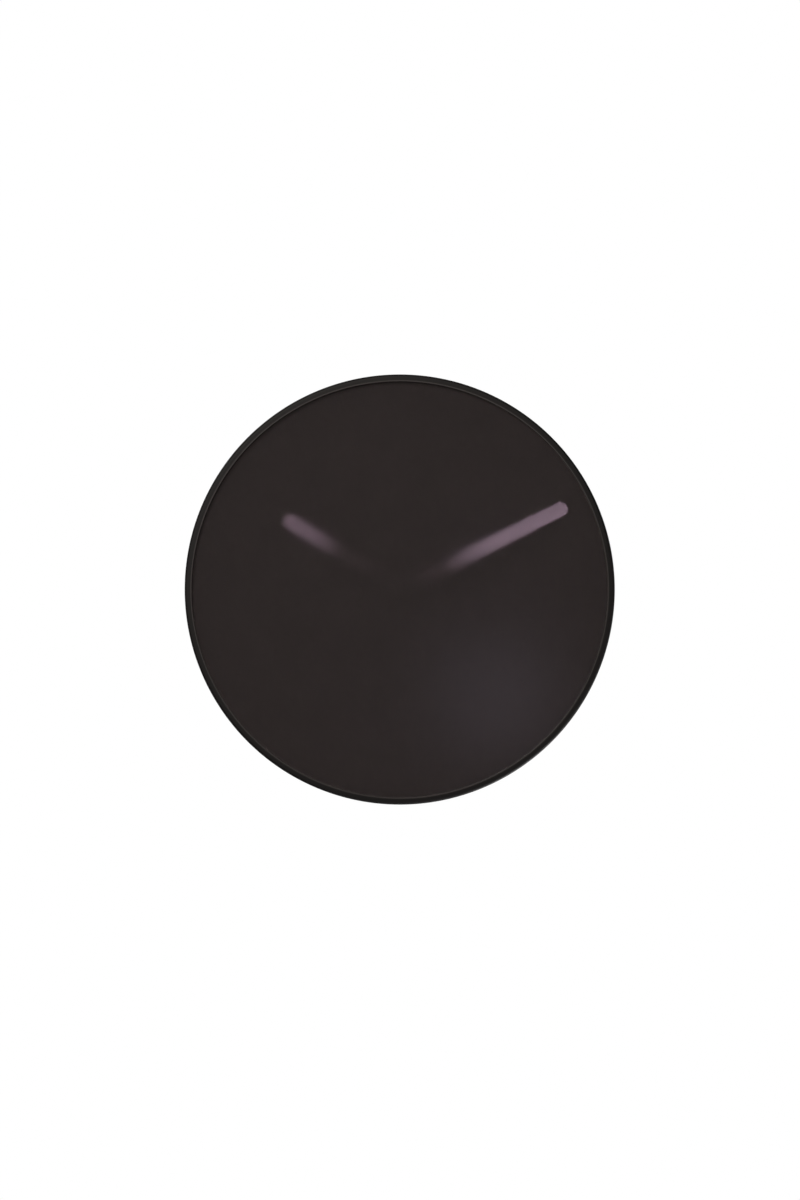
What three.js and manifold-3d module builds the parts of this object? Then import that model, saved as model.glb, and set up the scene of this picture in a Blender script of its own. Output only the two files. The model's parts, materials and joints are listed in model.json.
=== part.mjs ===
// A round steel wall clock, 300 mm across and 50 mm deep, with two hands behind a frosted lens.
// Millimetres, +Z up. The face looks towards -Y and the wall is the plane y = 0.
// The origin is the axis of the nail that the clock hangs on, where it meets the wall.
// Inside the clock, a depth is a distance from the wall towards the face.

import * as THREE from "three";
import { mergeVertices } from "three/addons/utils/BufferGeometryUtils.js";
import Module from "manifold-3d";

const wasm = await Module();
wasm.setup();

const degree = Math.PI / 180;
const fullTurn = 2 * Math.PI;

// Clearances
const seatGap = 0.1; // between two faces that rest on each other
const runningGap = 0.2; // between a turning or sliding face and its neighbour
const pivotGap = 0.15; // between a pivot and its hole, on the radius

// Case, front to back
const clockDiameter = 300;
const clockDepth = 50;
const bezelWall = 1.1;
const bezelLipSheet = 1.2;
const bezelLipWidth = 4.7;
const bezelOuterRound = 2;
const bezelInnerRound = 0.5;
const bezelSkirtDepth = 12;
const lensThickness = 3;
const lensSideGap = 0.7;
const lensBevel = 0.5;
const gasketThickness = 0.6;
const dishSheet = 0.8;
const dishFloorRadius = 45;
const dishWallGap = 1;
const dishRimWidth = 7.2;
const caseSheet = 1;
const caseFrontFlange = 6.7;
const caseBackFlange = 18.7;
const caseCornerRadius = 6;

// Fasteners and wall fittings
const padThickness = 2;
const padRadius = 6;
const padInset = 9.7;
const padCount = 4;
const screwCount = 4;
const screwHeadRadius = 2.8;
const screwHeadHeight = 0.9;
const screwShankRadius = 1.4;
const screwLength = 6;
const screwSlotWidth = 0.8;
const screwSlotDepth = 0.4;
const screwInset = 9.5;
const hangerWidth = 50;
const hangerHeight = 34;
const hangerSheet = 1.5;
const hangerCorner = 3;
const hangerTopInset = 10;
const keyholeEntryRadius = 5;
const keyholeSlotRadius = 2.5;
const keyholeDrop = 8;
const nailInset = 28;
const rivetShankRadius = 2;
const rivetHeadRadius = 3.4;
const rivetHeadHeight = 1;
const rivetCrownRadius = 2;
const rivetSpacing = 34;
const rivetInset = 14.5;

// Movement housing
const movementWidth = 56;
const movementCorner = 3;
const housingWall = 1.2;
const partitionWall = 0.9;
const coverSheet = 1.2;
const bridgeSheet = 0.8;
const trainRoomDepth = 6.8;
const motionRoomDepth = 6.1;
const bossWidth = 3.5;
const ledgeWidth = 1.5;
const coverScrewRadius = 0.8;
const coverScrewHeadRadius = 1.5;
const coverScrewHeadHeight = 0.5;
const coverScrewLength = 4;
const knobThickness = 2.2;
const knobRadius = 6;
const knobFlutes = 10;
const knobFluteDepth = 0.5;
const knobWallGap = 0.4;

// Battery and contacts
const batteryRadius = 7.1;
const batteryLength = 49.4;
const batteryEdge = 0.4;
const batteryNubRadius = 2.75;
const batteryNubLength = 1;
const batterySideGap = 0.3;
const contactSheet = 0.4;
const contactWidth = 9;
const contactHeight = 11;
const contactDimple = 0.5;
const contactFold = 0.6;

// Dial fastening
const bushingRadius = 4;
const bushingFlangeRadius = 6;
const bushingFlangeHeight = 1.2;
const bushingStandOut = 0.9;
const rubberWasherRadius = 9;
const rubberWasherThickness = 0.6;
const brassWasherRadius = 7.5;
const brassWasherThickness = 0.4;
const nutAcrossFlats = 12;
const nutThickness = 2;

// Hands
const handSheet = 0.8;
const handEyeRadius = 7;
const handClearance = 1;
const handWidth = 9.9;
const minuteTipGap = 15; // between the minute hand's tip and the bezel's lip
const minuteHandAngle = 26.5 * degree;
const hourHandLength = 94.3;
const hourHandAngle = 148.2 * degree;
const handTipDepth = 1.7;
const handCurve = 1.5;
const handSteps = 8;
const colletRadius = 4.4;
const hourColletHeight = 1.5;
const capRadius = 3.2;
const capThickness = 1.8;
const capEdge = 0.45;
const capSocketDepth = 1.1;

// Shafts and pipes
const minuteShaftRadius = 1.6;
const hourPipeRadius = 2.5;
const arborRadius = 0.6;
const centreArborRadius = 0.9;
const centreHubRadius = 1.8;
const settingShaftRadius = 1;
const pivotRadius = 0.35;
const pivotLength = 0.8;

// Wheels: teeth, and the module, which is the pitch diameter divided by the teeth
const trainModule = 0.4;
const pinionLeaves = 6;
const centreTeeth = 48;
const thirdTeeth = 45;
const secondsTeeth = 36;
const fifthTeeth = 30;
const motionModule = 0.6;
const cannonLeaves = 10;
const motionTeeth = 30;
const hourTeeth = 32;
const motionPinionLeaves = 8;
const settingLeaves = 10;
const trainWheelSheet = 0.5;
const motionWheelSheet = 0.8;
const trainWheelSpacing = 1.3;
const trainWheelStart = 0.7;
const motionWheelSpacing = 2;
const motionWheelStart = 1;
const pinionOverhang = 0.25;
const toothAddendum = 0.7;
const toothDedendum = 1.2;
const toothTipShare = 0.12;
const toothRootShare = 0.24;

// Where each axis lies, seen from the front, anticlockwise from +X
const thirdDirection = 150 * degree;
const secondsDirection = 60 * degree;
const fifthDirection = 0;
const rotorDirection = 40 * degree;
const motionDirection = 90 * degree;
const settingDirection = 0;

// Stepping motor and electronics
const magnetRadius = 2.6;
const magnetLength = 2.4;
const magnetGap = 0.6;
const statorLift = 3.6;
const statorSheet = 0.8;
const statorRingWidth = 2;
const statorArmWidth = 3;
const coilLength = 16.4;
const coilWidth = 6;
const coilDepth = 3.4;
const coilCoreWidth = 2;
const coilCoreSheet = 0.6;
const coilAxis = 20.5;
const coilBottom = 3.4;
const bobbinWall = 0.5;
const bobbinFlange = 0.8;
const boardWidth = 12;
const boardHeight = 8.6;
const boardSheet = 0.8;
const boardInset = 4;
const chipWidth = 4;
const chipHeight = 0.9;
const chipInset = 2.5;
const crystalRadius = 1;
const crystalLength = 6;

// Facets
const rimSegments = 48;
const hiddenRimSegments = 36;
const roundSegments = 16;
const smallSegments = 12;
const pivotSegments = 8;
const cornerSegments = 3;

// Radii and depths that follow from the sizes above
const clockRadius = clockDiameter / 2;
const caseRadius = clockRadius - bezelWall - runningGap;
const lipInnerRadius = clockRadius - bezelLipWidth;
const minuteHandLength = lipInnerRadius - minuteTipGap;
const lensRadius = clockRadius - bezelWall - lensSideGap;
const lipBack = clockDepth - bezelLipSheet;
const lensFront = lipBack - seatGap;
const lensBack = lensFront - lensThickness;
const gasketFront = lensBack - seatGap;
const gasketBack = gasketFront - gasketThickness;
const dishRimFront = gasketBack - seatGap;
const dishRimBack = dishRimFront - dishSheet;
const caseFront = dishRimBack - seatGap;
const caseBack = padThickness;
const nailDrop = clockRadius - nailInset;

const knobBack = caseBack + caseSheet + knobWallGap;
const knobFront = knobBack + knobThickness;
const coverBack = knobFront + runningGap;
const coverFront = coverBack + coverSheet;
const bridgeBack = coverFront + trainRoomDepth;
const bridgeFront = bridgeBack + bridgeSheet;
const housingInnerFront = bridgeFront + motionRoomDepth;
const housingFront = housingInnerFront + housingWall;
const rubberWasherBack = housingFront + seatGap;
const dishFloorBack = rubberWasherBack + rubberWasherThickness + seatGap;
const dishFloorFront = dishFloorBack + dishSheet;
const brassWasherBack = dishFloorFront + seatGap;
const nutBack = brassWasherBack + brassWasherThickness + seatGap;
const nutFront = nutBack + nutThickness;
const bushingFront = nutFront + bushingStandOut;

const hourColletBack = bushingFront + runningGap;
const hourHandBack = hourColletBack + hourColletHeight + seatGap;
const hourPipeFront = hourHandBack + handSheet;
const minuteColletBack = hourPipeFront + runningGap;
const minuteHandBack = hourHandBack + handSheet + handClearance;
const minuteHandFront = minuteHandBack + handSheet;
const capBack = minuteHandFront + seatGap;
const minuteShaftFront = capBack + capSocketDepth - seatGap;
const handRise = lensBack - handTipDepth - minuteHandFront;

const innerHalf = movementWidth / 2 - housingWall;
const batteryAxisZ = -innerHalf + batterySideGap + batteryRadius;
const partitionBottom = batteryAxisZ + batteryRadius + batterySideGap;
const partitionTop = partitionBottom + partitionWall;
const batteryAxisDepth = housingInnerFront - seatGap - batteryRadius;
const hourPipeBore = minuteShaftRadius + runningGap;
const bushingBore = hourPipeRadius + runningGap;

// Materials
function finish(color, roughness, metalness) {
  return new THREE.MeshStandardMaterial({ color, roughness, metalness, flatShading: true });
}
const blackSteel = finish(0x1c1b1d, 0.42, 0.6);
const matteBlackSteel = finish(0x121113, 0.85, 0.2);
const zincSteel = finish(0xa6a8aa, 0.4, 0.9);
const smokedLens = finish(0x2b2524, 0.5, 0);
const blackRubber = finish(0x161616, 0.9, 0);
const mauveHand = finish(0x74626d, 0.55, 0.1);
const brass = finish(0xb8954a, 0.35, 0.9);
const blackPlastic = finish(0x1b1c1e, 0.55, 0);
const whitePlastic = finish(0xd9d8d2, 0.5, 0);
const copperWire = finish(0xa4552c, 0.4, 0.8);
const siliconSteel = finish(0x8b8d90, 0.45, 0.9);
const darkMagnet = finish(0x4a4a4d, 0.4, 0.8);
const greenBoard = finish(0x24503a, 0.5, 0);
const blackChip = finish(0x101012, 0.5, 0);
const nickelSteel = finish(0xc0bfba, 0.3, 1);
const batterySleeve = finish(0x6f7478, 0.35, 0.6);

// Solids: closed three.js geometries are turned into solids so that they can be joined and cut.

function toSolid(geometry) {
  const shell = geometry.clone();
  shell.deleteAttribute("normal");
  shell.deleteAttribute("uv");
  const merged = mergeVertices(shell.index ? shell.toNonIndexed() : shell);
  return new wasm.Manifold(
    new wasm.Mesh({
      numProp: 3,
      vertProperties: merged.attributes.position.array,
      triVerts: new Uint32Array(merged.index.array),
    }),
  );
}

function join(...geometries) {
  const solids = geometries.map(toSolid);
  return toGeometry(solids.reduce((sum, next) => sum.add(next)));
}

function cut(body, ...tools) {
  const solids = tools.map(toSolid);
  return toGeometry(solids.reduce((rest, tool) => rest.subtract(tool), toSolid(body)));
}

function common(first, second) {
  return toGeometry(toSolid(first).intersect(toSolid(second)));
}

function toGeometry(manifold) {
  const { vertProperties, triVerts } = manifold.getMesh();
  const geometry = new THREE.BufferGeometry();
  geometry.setAttribute("position", new THREE.BufferAttribute(vertProperties, 3));
  geometry.setIndex(new THREE.BufferAttribute(triVerts, 1));
  geometry.computeVertexNormals();
  return geometry;
}

// Revolves a closed outline of [radius, depth] points about the clock's axis.
function revolve(outline, segments) {
  const points = outline.map(([radius, depth]) => new THREE.Vector2(radius, -depth));
  if (THREE.ShapeUtils.area(points) < 0) points.reverse();
  const touchesAxis = points.some((point) => point.x === 0);
  if (touchesAxis) {
    while (points[0].x !== 0 || points.at(-1).x !== 0) points.push(points.shift());
  } else {
    points.push(points[0].clone());
  }
  return new THREE.LatheGeometry(points, segments);
}

// Points of a quarter-round corner between two depths and radii, for a revolved outline.
function roundCorner(centreRadius, centreDepth, radius, startAngle, endAngle, segments = cornerSegments) {
  return Array.from({ length: segments + 1 }, (_, i) => {
    const angle = startAngle + ((endAngle - startAngle) * i) / segments;
    return [centreRadius + radius * Math.cos(angle), centreDepth + radius * Math.sin(angle)];
  });
}

// Extrudes an outline drawn in the plane of the face, between two depths.
function prism(shape, back, front) {
  return new THREE.ExtrudeGeometry(shape, {
    depth: front - back,
    bevelEnabled: false,
    curveSegments: smallSegments / 2,
  })
    .rotateX(Math.PI / 2)
    .translate(0, -back, 0);
}

function rod(radius, back, front, segments = smallSegments) {
  return new THREE.CylinderGeometry(radius, radius, front - back, segments)
    .translate(0, -(front + back) / 2, 0);
}

function block(left, right, back, front, bottom, top) {
  return new THREE.BoxGeometry(right - left, front - back, top - bottom)
    .translate((left + right) / 2, -(back + front) / 2, (bottom + top) / 2);
}

function roundedRectangle(left, right, bottom, top, radius) {
  const shape = new THREE.Shape();
  shape.moveTo(left + radius, bottom);
  shape.lineTo(right - radius, bottom);
  shape.quadraticCurveTo(right, bottom, right, bottom + radius);
  shape.lineTo(right, top - radius);
  shape.quadraticCurveTo(right, top, right - radius, top);
  shape.lineTo(left + radius, top);
  shape.quadraticCurveTo(left, top, left, top - radius);
  shape.lineTo(left, bottom + radius);
  shape.quadraticCurveTo(left, bottom, left + radius, bottom);
  return shape;
}

const clock = new THREE.Group();
clock.name = "wall_clock";
clock.position.z = -nailDrop;

function addPiece(name, geometry, material, parent = clock) {
  const mesh = new THREE.Mesh(geometry, material);
  mesh.name = name;
  parent.add(mesh);
  return mesh;
}

// A group turned about the clock's axis, so that what it holds at +X comes to the given angle.
function turned(angle) {
  const group = new THREE.Group();
  group.rotation.y = -angle;
  clock.add(group);
  return group;
}

function evenAngles(count) {
  return Array.from({ length: count }, (_, i) => (fullTurn * (i + 0.5)) / count);
}

// Case: a spun steel ring, open behind, with a flange at each end
const screwDepth = clockDepth - screwInset;
const screwTipRadius = clockRadius - screwLength;
const rivetHeight = clockRadius - rivetInset;

// A rod that points away from the clock's axis, at +X before its group turns it.
function radialRod(radius, innerEnd, outerEnd, segments = smallSegments) {
  return new THREE.CylinderGeometry(radius, radius, outerEnd - innerEnd, segments)
    .rotateZ(-Math.PI / 2)
    .translate((innerEnd + outerEnd) / 2, -screwDepth, 0);
}

function caseRing() {
  const corner = caseRadius - caseCornerRadius;
  const innerRadius = caseRadius - caseSheet;
  const innerFlange = caseBack + caseSheet;
  const outline = [
    [caseRadius - caseBackFlange, caseBack],
    ...roundCorner(corner, caseBack + caseCornerRadius, caseCornerRadius, -Math.PI / 2, 0),
    [caseRadius, caseFront],
    [caseRadius - caseFrontFlange, caseFront],
    [caseRadius - caseFrontFlange, caseFront - caseSheet],
    [innerRadius, caseFront - caseSheet],
    ...roundCorner(corner, caseBack + caseCornerRadius, caseCornerRadius - caseSheet, 0, -Math.PI / 2),
    [caseRadius - caseBackFlange, innerFlange],
  ];
  const screwHoles = evenAngles(screwCount).map((angle) =>
    radialRod(screwShankRadius + runningGap, innerRadius - caseSheet, caseRadius + caseSheet).rotateY(-angle),
  );
  const rivetHoles = [-1, 1].map((side) =>
    rod(rivetShankRadius + seatGap, caseBack - caseSheet, innerFlange + caseSheet)
      .translate((side * rivetSpacing) / 2, 0, rivetHeight),
  );
  return cut(revolve(outline, rimSegments), ...screwHoles, ...rivetHoles);
}

function bezel() {
  const skirtInner = clockRadius - bezelWall;
  const outerCentre = clockRadius - bezelOuterRound;
  const innerCentre = lipInnerRadius + bezelInnerRound;
  const skirtBack = clockDepth - bezelSkirtDepth;
  const outline = [
    [lipInnerRadius, lipBack],
    ...roundCorner(innerCentre, clockDepth - bezelInnerRound, bezelInnerRound, Math.PI, Math.PI / 2, 1),
    ...roundCorner(outerCentre, clockDepth - bezelOuterRound, bezelOuterRound, Math.PI / 2, 0),
    [clockRadius, skirtBack],
    [skirtInner, skirtBack],
    [skirtInner, lipBack],
  ];
  const screwHoles = evenAngles(screwCount).map((angle) =>
    radialRod(screwHeadRadius + seatGap, caseRadius - bezelWall, clockRadius + bezelWall).rotateY(-angle),
  );
  return cut(revolve(outline, rimSegments), ...screwHoles);
}

function lens() {
  return revolve(
    [
      [0, lensBack],
      [lensRadius, lensBack],
      [lensRadius, lensFront - lensBevel],
      [lensRadius - lensBevel, lensFront],
      [0, lensFront],
    ],
    rimSegments,
  );
}

function ring(innerRadius, outerRadius, back, front, segments) {
  const outline = [
    [innerRadius, back],
    [outerRadius, back],
    [outerRadius, front],
    [innerRadius, front],
  ];
  return revolve(outline, segments);
}

// Dish behind the hands: a flat floor that carries the movement, and a wall that rises to the rim.
const dishWallRadius = caseRadius - caseFrontFlange - dishWallGap;
const dishSteps = 4;
const dishCurve = 1.6;

function dishRise(share) {
  return (dishRimBack - dishFloorBack) * share ** dishCurve;
}

function dialDish() {
  const shares = Array.from({ length: dishSteps + 1 }, (_, i) => i / dishSteps);
  const wall = shares.map((share) => [
    dishFloorRadius + (dishWallRadius - dishFloorRadius) * share,
    dishFloorBack + dishRise(share),
  ]);
  const rimRadius = dishWallRadius + dishRimWidth;
  const front = wall.map(([radius, depth]) => [radius - dishSheet / 2, depth + dishSheet]).reverse();
  const outline = [
    [bushingRadius + runningGap, dishFloorBack],
    ...wall,
    [rimRadius, dishRimBack],
    [rimRadius, dishRimFront],
    ...front,
    [bushingRadius + runningGap, dishFloorFront],
  ];
  return revolve(outline, hiddenRimSegments);
}

addPiece("case_ring", caseRing(), blackSteel);
addPiece("bezel", bezel(), blackSteel);
addPiece("lens", lens(), smokedLens);
addPiece(
  "lens_gasket",
  ring(lipInnerRadius + seatGap, lensRadius, gasketBack, gasketFront, hiddenRimSegments),
  blackRubber,
);
addPiece("dial_dish", dialDish(), matteBlackSteel);

// Radial screws that hold the bezel on the case
function bezelScrew() {
  const headBottom = caseRadius + seatGap;
  const head = radialRod(screwHeadRadius, headBottom, headBottom + screwHeadHeight);
  const shank = radialRod(screwShankRadius, screwTipRadius, headBottom + screwHeadHeight / 2);
  const slotLength = 2 * (screwHeadRadius + runningGap);
  const slot = new THREE.BoxGeometry(2 * screwSlotDepth, screwSlotWidth, slotLength)
    .translate(headBottom + screwHeadHeight, -screwDepth, 0);
  return cut(join(head, shank), slot);
}

evenAngles(screwCount).forEach((angle, i) => {
  addPiece(`bezel_screw_${i + 1}`, bezelScrew(), zincSteel, turned(angle));
});

// Rubber pads that keep the case off the wall
evenAngles(padCount).forEach((angle, i) => {
  const pad = rod(padRadius, 0, padThickness - seatGap, roundSegments).translate(caseRadius - padInset, 0, 0);
  addPiece(`wall_pad_${i + 1}`, pad, blackRubber, turned(angle));
});

// Hanger plate inside the rear flange, with a keyhole for the nail
function hangerPlate() {
  const back = caseBack + caseSheet + seatGap;
  const top = clockRadius - hangerTopInset;
  const half = hangerWidth / 2;
  const outline = roundedRectangle(-half, half, top - hangerHeight, top, hangerCorner);
  const entryHeight = nailDrop - keyholeDrop;
  const shoulder = Math.asin(keyholeSlotRadius / keyholeEntryRadius);
  const keyhole = new THREE.Path();
  const entryStart = Math.PI / 2 + shoulder;
  const entryEnd = Math.PI / 2 - shoulder + fullTurn;
  keyhole.absarc(0, nailDrop, keyholeSlotRadius, 0, Math.PI);
  keyhole.absarc(0, entryHeight, keyholeEntryRadius, entryStart, entryEnd);
  outline.holes.push(keyhole);
  const front = back + hangerSheet;
  const rivetHoles = [-1, 1].map((side) =>
    rod(rivetShankRadius + seatGap, back - caseSheet, front + caseSheet)
      .translate((side * rivetSpacing) / 2, 0, rivetHeight),
  );
  return cut(prism(outline, back, front), ...rivetHoles);
}

function hangerRivet() {
  const rearHead = caseBack - seatGap;
  const frontHead = caseBack + caseSheet + seatGap + hangerSheet + seatGap;
  return revolve(
    [
      [0, rearHead - rivetHeadHeight],
      [rivetCrownRadius, rearHead - rivetHeadHeight],
      [rivetHeadRadius, rearHead],
      [rivetShankRadius, rearHead],
      [rivetShankRadius, frontHead],
      [rivetHeadRadius, frontHead],
      [rivetCrownRadius, frontHead + rivetHeadHeight],
      [0, frontHead + rivetHeadHeight],
    ],
    smallSegments,
  );
}

addPiece("hanger_plate", hangerPlate(), zincSteel);
[["left", -1], ["right", 1]].forEach(([name, side]) => {
  const rivet = hangerRivet().translate((side * rivetSpacing) / 2, 0, rivetHeight);
  addPiece(`hanger_rivet_${name}`, rivet, zincSteel);
});

// Movement: its axes in the plane of the face, and the faces of its layers of wheels

function meshDistance(teeth, otherTeeth, module) {
  return (module * (teeth + otherTeeth)) / 2;
}

function stepFrom([x, z], direction, distance) {
  return [x + distance * Math.cos(direction), z + distance * Math.sin(direction)];
}

// The axis of the pinion that a train wheel drives.
function driven(axis, teeth, direction) {
  return stepFrom(axis, direction, meshDistance(teeth, pinionLeaves, trainModule));
}

const centreAxis = [0, 0];
const thirdAxis = driven(centreAxis, centreTeeth, thirdDirection);
const secondsAxis = driven(thirdAxis, thirdTeeth, secondsDirection);
const fifthAxis = driven(secondsAxis, secondsTeeth, fifthDirection);
const rotorAxis = driven(fifthAxis, fifthTeeth, rotorDirection);
const motionReach = meshDistance(cannonLeaves, motionTeeth, motionModule);
const settingReach = meshDistance(motionTeeth, settingLeaves, motionModule);
const motionAxis = stepFrom(centreAxis, motionDirection, motionReach);
const settingAxis = stepFrom(motionAxis, settingDirection, settingReach);
const hourModule = (2 * motionReach) / (motionPinionLeaves + hourTeeth);

function trainLayer(index) {
  return coverFront + trainWheelStart + index * trainWheelSpacing;
}

function motionLayer(index) {
  return bridgeFront + motionWheelStart + index * motionWheelSpacing;
}

// Outline of a toothed wheel. Its first tooth stands at the angle turn.
function gearOutline(teeth, module, turn) {
  const pitch = fullTurn / teeth;
  const pitchRadius = (teeth * module) / 2;
  const tip = pitchRadius + toothAddendum * module;
  const root = pitchRadius - toothDedendum * module;
  const corners = [
    [root, -toothRootShare],
    [tip, -toothTipShare],
    [tip, toothTipShare],
    [root, toothRootShare],
  ];
  const points = Array.from({ length: teeth }, (_, tooth) =>
    corners.map(([radius, side]) => {
      const angle = turn + (tooth + side) * pitch;
      return new THREE.Vector2(radius * Math.cos(angle), radius * Math.sin(angle));
    }),
  );
  return new THREE.Shape(points.flat());
}

// The turn that puts a wheel's tooth space where its neighbour's tooth comes.
// direction points from the neighbour's axis to the wheel's own.
function meshingTurn(neighbourTurn, neighbourTeeth, teeth, direction) {
  const travel = ((direction - neighbourTurn) * neighbourTeeth) / teeth;
  return direction + Math.PI + Math.PI / teeth + travel;
}

function wheelDisc(teeth, module, turn, layer, sheet) {
  return prism(gearOutline(teeth, module, turn), layer, layer + sheet);
}

function pinionFor(leaves, module, turn, layer, sheet) {
  return prism(gearOutline(leaves, module, turn), layer - pinionOverhang, layer + sheet + pinionOverhang);
}

// A turned arbor between two plates, whose inner faces are at the given depths, with a pivot at each end.
function arbor(radius, rearPlate, frontPlate) {
  const rearShoulder = rearPlate + seatGap;
  const frontShoulder = frontPlate - seatGap;
  return revolve(
    [
      [0, rearShoulder - pivotLength],
      [pivotRadius, rearShoulder - pivotLength],
      [pivotRadius, rearShoulder],
      [radius, rearShoulder],
      [radius, frontShoulder],
      [pivotRadius, frontShoulder],
      [pivotRadius, frontShoulder + pivotLength],
      [0, frontShoulder + pivotLength],
    ],
    pivotSegments,
  );
}

function pivotHole(axis, back, front) {
  return at(axis, rod(pivotRadius + pivotGap, back, front, pivotSegments));
}

function at([x, z], geometry) {
  return geometry.translate(x, 0, z);
}

// Going train: each wheel carries the pinion that the wheel before it drives.
function trainWheel(teeth, layerIndex, pinionLayerIndex, pinionTurn) {
  const layer = trainLayer(layerIndex);
  return join(
    arbor(arborRadius, coverFront, bridgeBack),
    wheelDisc(teeth, trainModule, 0, layer, trainWheelSheet),
    pinionFor(pinionLeaves, trainModule, pinionTurn, trainLayer(pinionLayerIndex), trainWheelSheet),
  );
}

const fifthLayer = 0;
const secondsLayer = 1;
const thirdLayer = 2;
const centreLayer = 3;
const thirdTurn = meshingTurn(0, centreTeeth, pinionLeaves, thirdDirection);
const secondsTurn = meshingTurn(0, thirdTeeth, pinionLeaves, secondsDirection);
const fifthTurn = meshingTurn(0, secondsTeeth, pinionLeaves, fifthDirection);
const rotorTurn = meshingTurn(0, fifthTeeth, pinionLeaves, rotorDirection);

function centreWheel() {
  const layer = trainLayer(centreLayer);
  const hub = rod(centreHubRadius, layer - pinionOverhang, layer + trainWheelSheet + pinionOverhang);
  const bore = rod(centreArborRadius + seatGap, coverBack, bridgeFront);
  return cut(join(wheelDisc(centreTeeth, trainModule, 0, layer, trainWheelSheet), hub), bore);
}

function rotor() {
  const pinion = pinionFor(pinionLeaves, trainModule, rotorTurn, trainLayer(fifthLayer), trainWheelSheet);
  return join(arbor(arborRadius, coverFront, bridgeBack), pinion);
}

addPiece("centre_wheel", centreWheel(), brass);
const thirdWheel = trainWheel(thirdTeeth, thirdLayer, centreLayer, thirdTurn);
const secondsWheel = trainWheel(secondsTeeth, secondsLayer, thirdLayer, secondsTurn);
const fifthWheel = trainWheel(fifthTeeth, fifthLayer, secondsLayer, fifthTurn);
addPiece("third_wheel", at(thirdAxis, thirdWheel), whitePlastic);
addPiece("seconds_wheel", at(secondsAxis, secondsWheel), whitePlastic);
addPiece("fifth_wheel", at(fifthAxis, fifthWheel), whitePlastic);
addPiece("rotor", at(rotorAxis, rotor()), whitePlastic);

// Motion work: the minute shaft's cannon pinion drives the motion wheel, which drives the hour wheel.
const motionTurn = meshingTurn(0, cannonLeaves, motionTeeth, motionDirection);
const hourTurn = meshingTurn(0, motionPinionLeaves, hourTeeth, motionDirection + Math.PI);
const settingTurn = meshingTurn(motionTurn, motionTeeth, settingLeaves, settingDirection);

function minuteShaft() {
  const shoulder = coverFront + seatGap;
  const cannonBack = motionLayer(0) - pinionOverhang;
  const shaft = revolve(
    [
      [0, shoulder - pivotLength],
      [pivotRadius, shoulder - pivotLength],
      [pivotRadius, shoulder],
      [centreArborRadius, shoulder],
      [centreArborRadius, cannonBack],
      [minuteShaftRadius, cannonBack],
      [minuteShaftRadius, minuteShaftFront],
      [0, minuteShaftFront],
    ],
    smallSegments,
  );
  return join(shaft, pinionFor(cannonLeaves, motionModule, 0, motionLayer(0), motionWheelSheet));
}

function motionWheel() {
  return join(
    arbor(arborRadius, bridgeFront, housingInnerFront),
    wheelDisc(motionTeeth, motionModule, motionTurn, motionLayer(0), motionWheelSheet),
    pinionFor(motionPinionLeaves, hourModule, 0, motionLayer(1), motionWheelSheet),
  );
}

function hourWheel() {
  const pipeBack = motionLayer(1) - pinionOverhang;
  const wheel = wheelDisc(hourTeeth, hourModule, hourTurn, motionLayer(1), motionWheelSheet);
  const pipe = rod(hourPipeRadius, pipeBack, hourPipeFront, roundSegments);
  const bore = rod(hourPipeBore, pipeBack - seatGap, hourPipeFront + seatGap, roundSegments);
  return cut(join(wheel, pipe), bore);
}

function settingShaft() {
  const shoulder = housingInnerFront - seatGap;
  const shaft = revolve(
    [
      [0, knobBack],
      [settingShaftRadius, knobBack],
      [settingShaftRadius, shoulder],
      [pivotRadius, shoulder],
      [pivotRadius, shoulder + pivotLength],
      [0, shoulder + pivotLength],
    ],
    smallSegments,
  );
  return join(shaft, pinionFor(settingLeaves, motionModule, settingTurn, motionLayer(0), motionWheelSheet));
}

function settingKnob() {
  const pointsPerFlute = 4;
  const count = knobFlutes * pointsPerFlute;
  const points = Array.from({ length: count }, (_, i) => {
    const angle = (fullTurn * i) / count;
    const radius = knobRadius - (knobFluteDepth * (1 - Math.cos(knobFlutes * angle))) / 2;
    return new THREE.Vector2(radius * Math.cos(angle), radius * Math.sin(angle));
  });
  const outline = new THREE.Shape(points);
  outline.holes.push(new THREE.Path().absarc(0, 0, settingShaftRadius + seatGap, 0, fullTurn));
  return prism(outline, knobBack, knobFront);
}

addPiece("minute_shaft", minuteShaft(), brass);
addPiece("motion_wheel", at(motionAxis, motionWheel()), whitePlastic);
addPiece("hour_wheel", hourWheel(), whitePlastic);
addPiece("setting_shaft", at(settingAxis, settingShaft()), whitePlastic);
addPiece("setting_knob", at(settingAxis, settingKnob()), whitePlastic);

// Stepping motor: a magnet on the rotor, a C-shaped stator and a coil that joins the stator's ends
const statorBack = coverFront + statorLift;
const statorFront = statorBack + statorSheet;
const coreBack = statorFront + seatGap;
const coreFront = coreBack + coilCoreSheet;
const coilMiddle = (coreBack + coreFront) / 2;
const coilTop = coilBottom + coilLength;
const bobbinHalfWidth = coilWidth / 2 + runningGap;
const bobbinHalfDepth = coilDepth / 2 + runningGap;
const statorFootTop = coilBottom - runningGap;
const statorArmBottom = coilTop + runningGap;
const statorRight = coilAxis + coilWidth / 2;

function rotorMagnet() {
  const middle = (statorBack + statorFront) / 2;
  const back = middle - magnetLength / 2;
  return ring(arborRadius + seatGap, magnetRadius, back, back + magnetLength, smallSegments);
}

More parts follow.
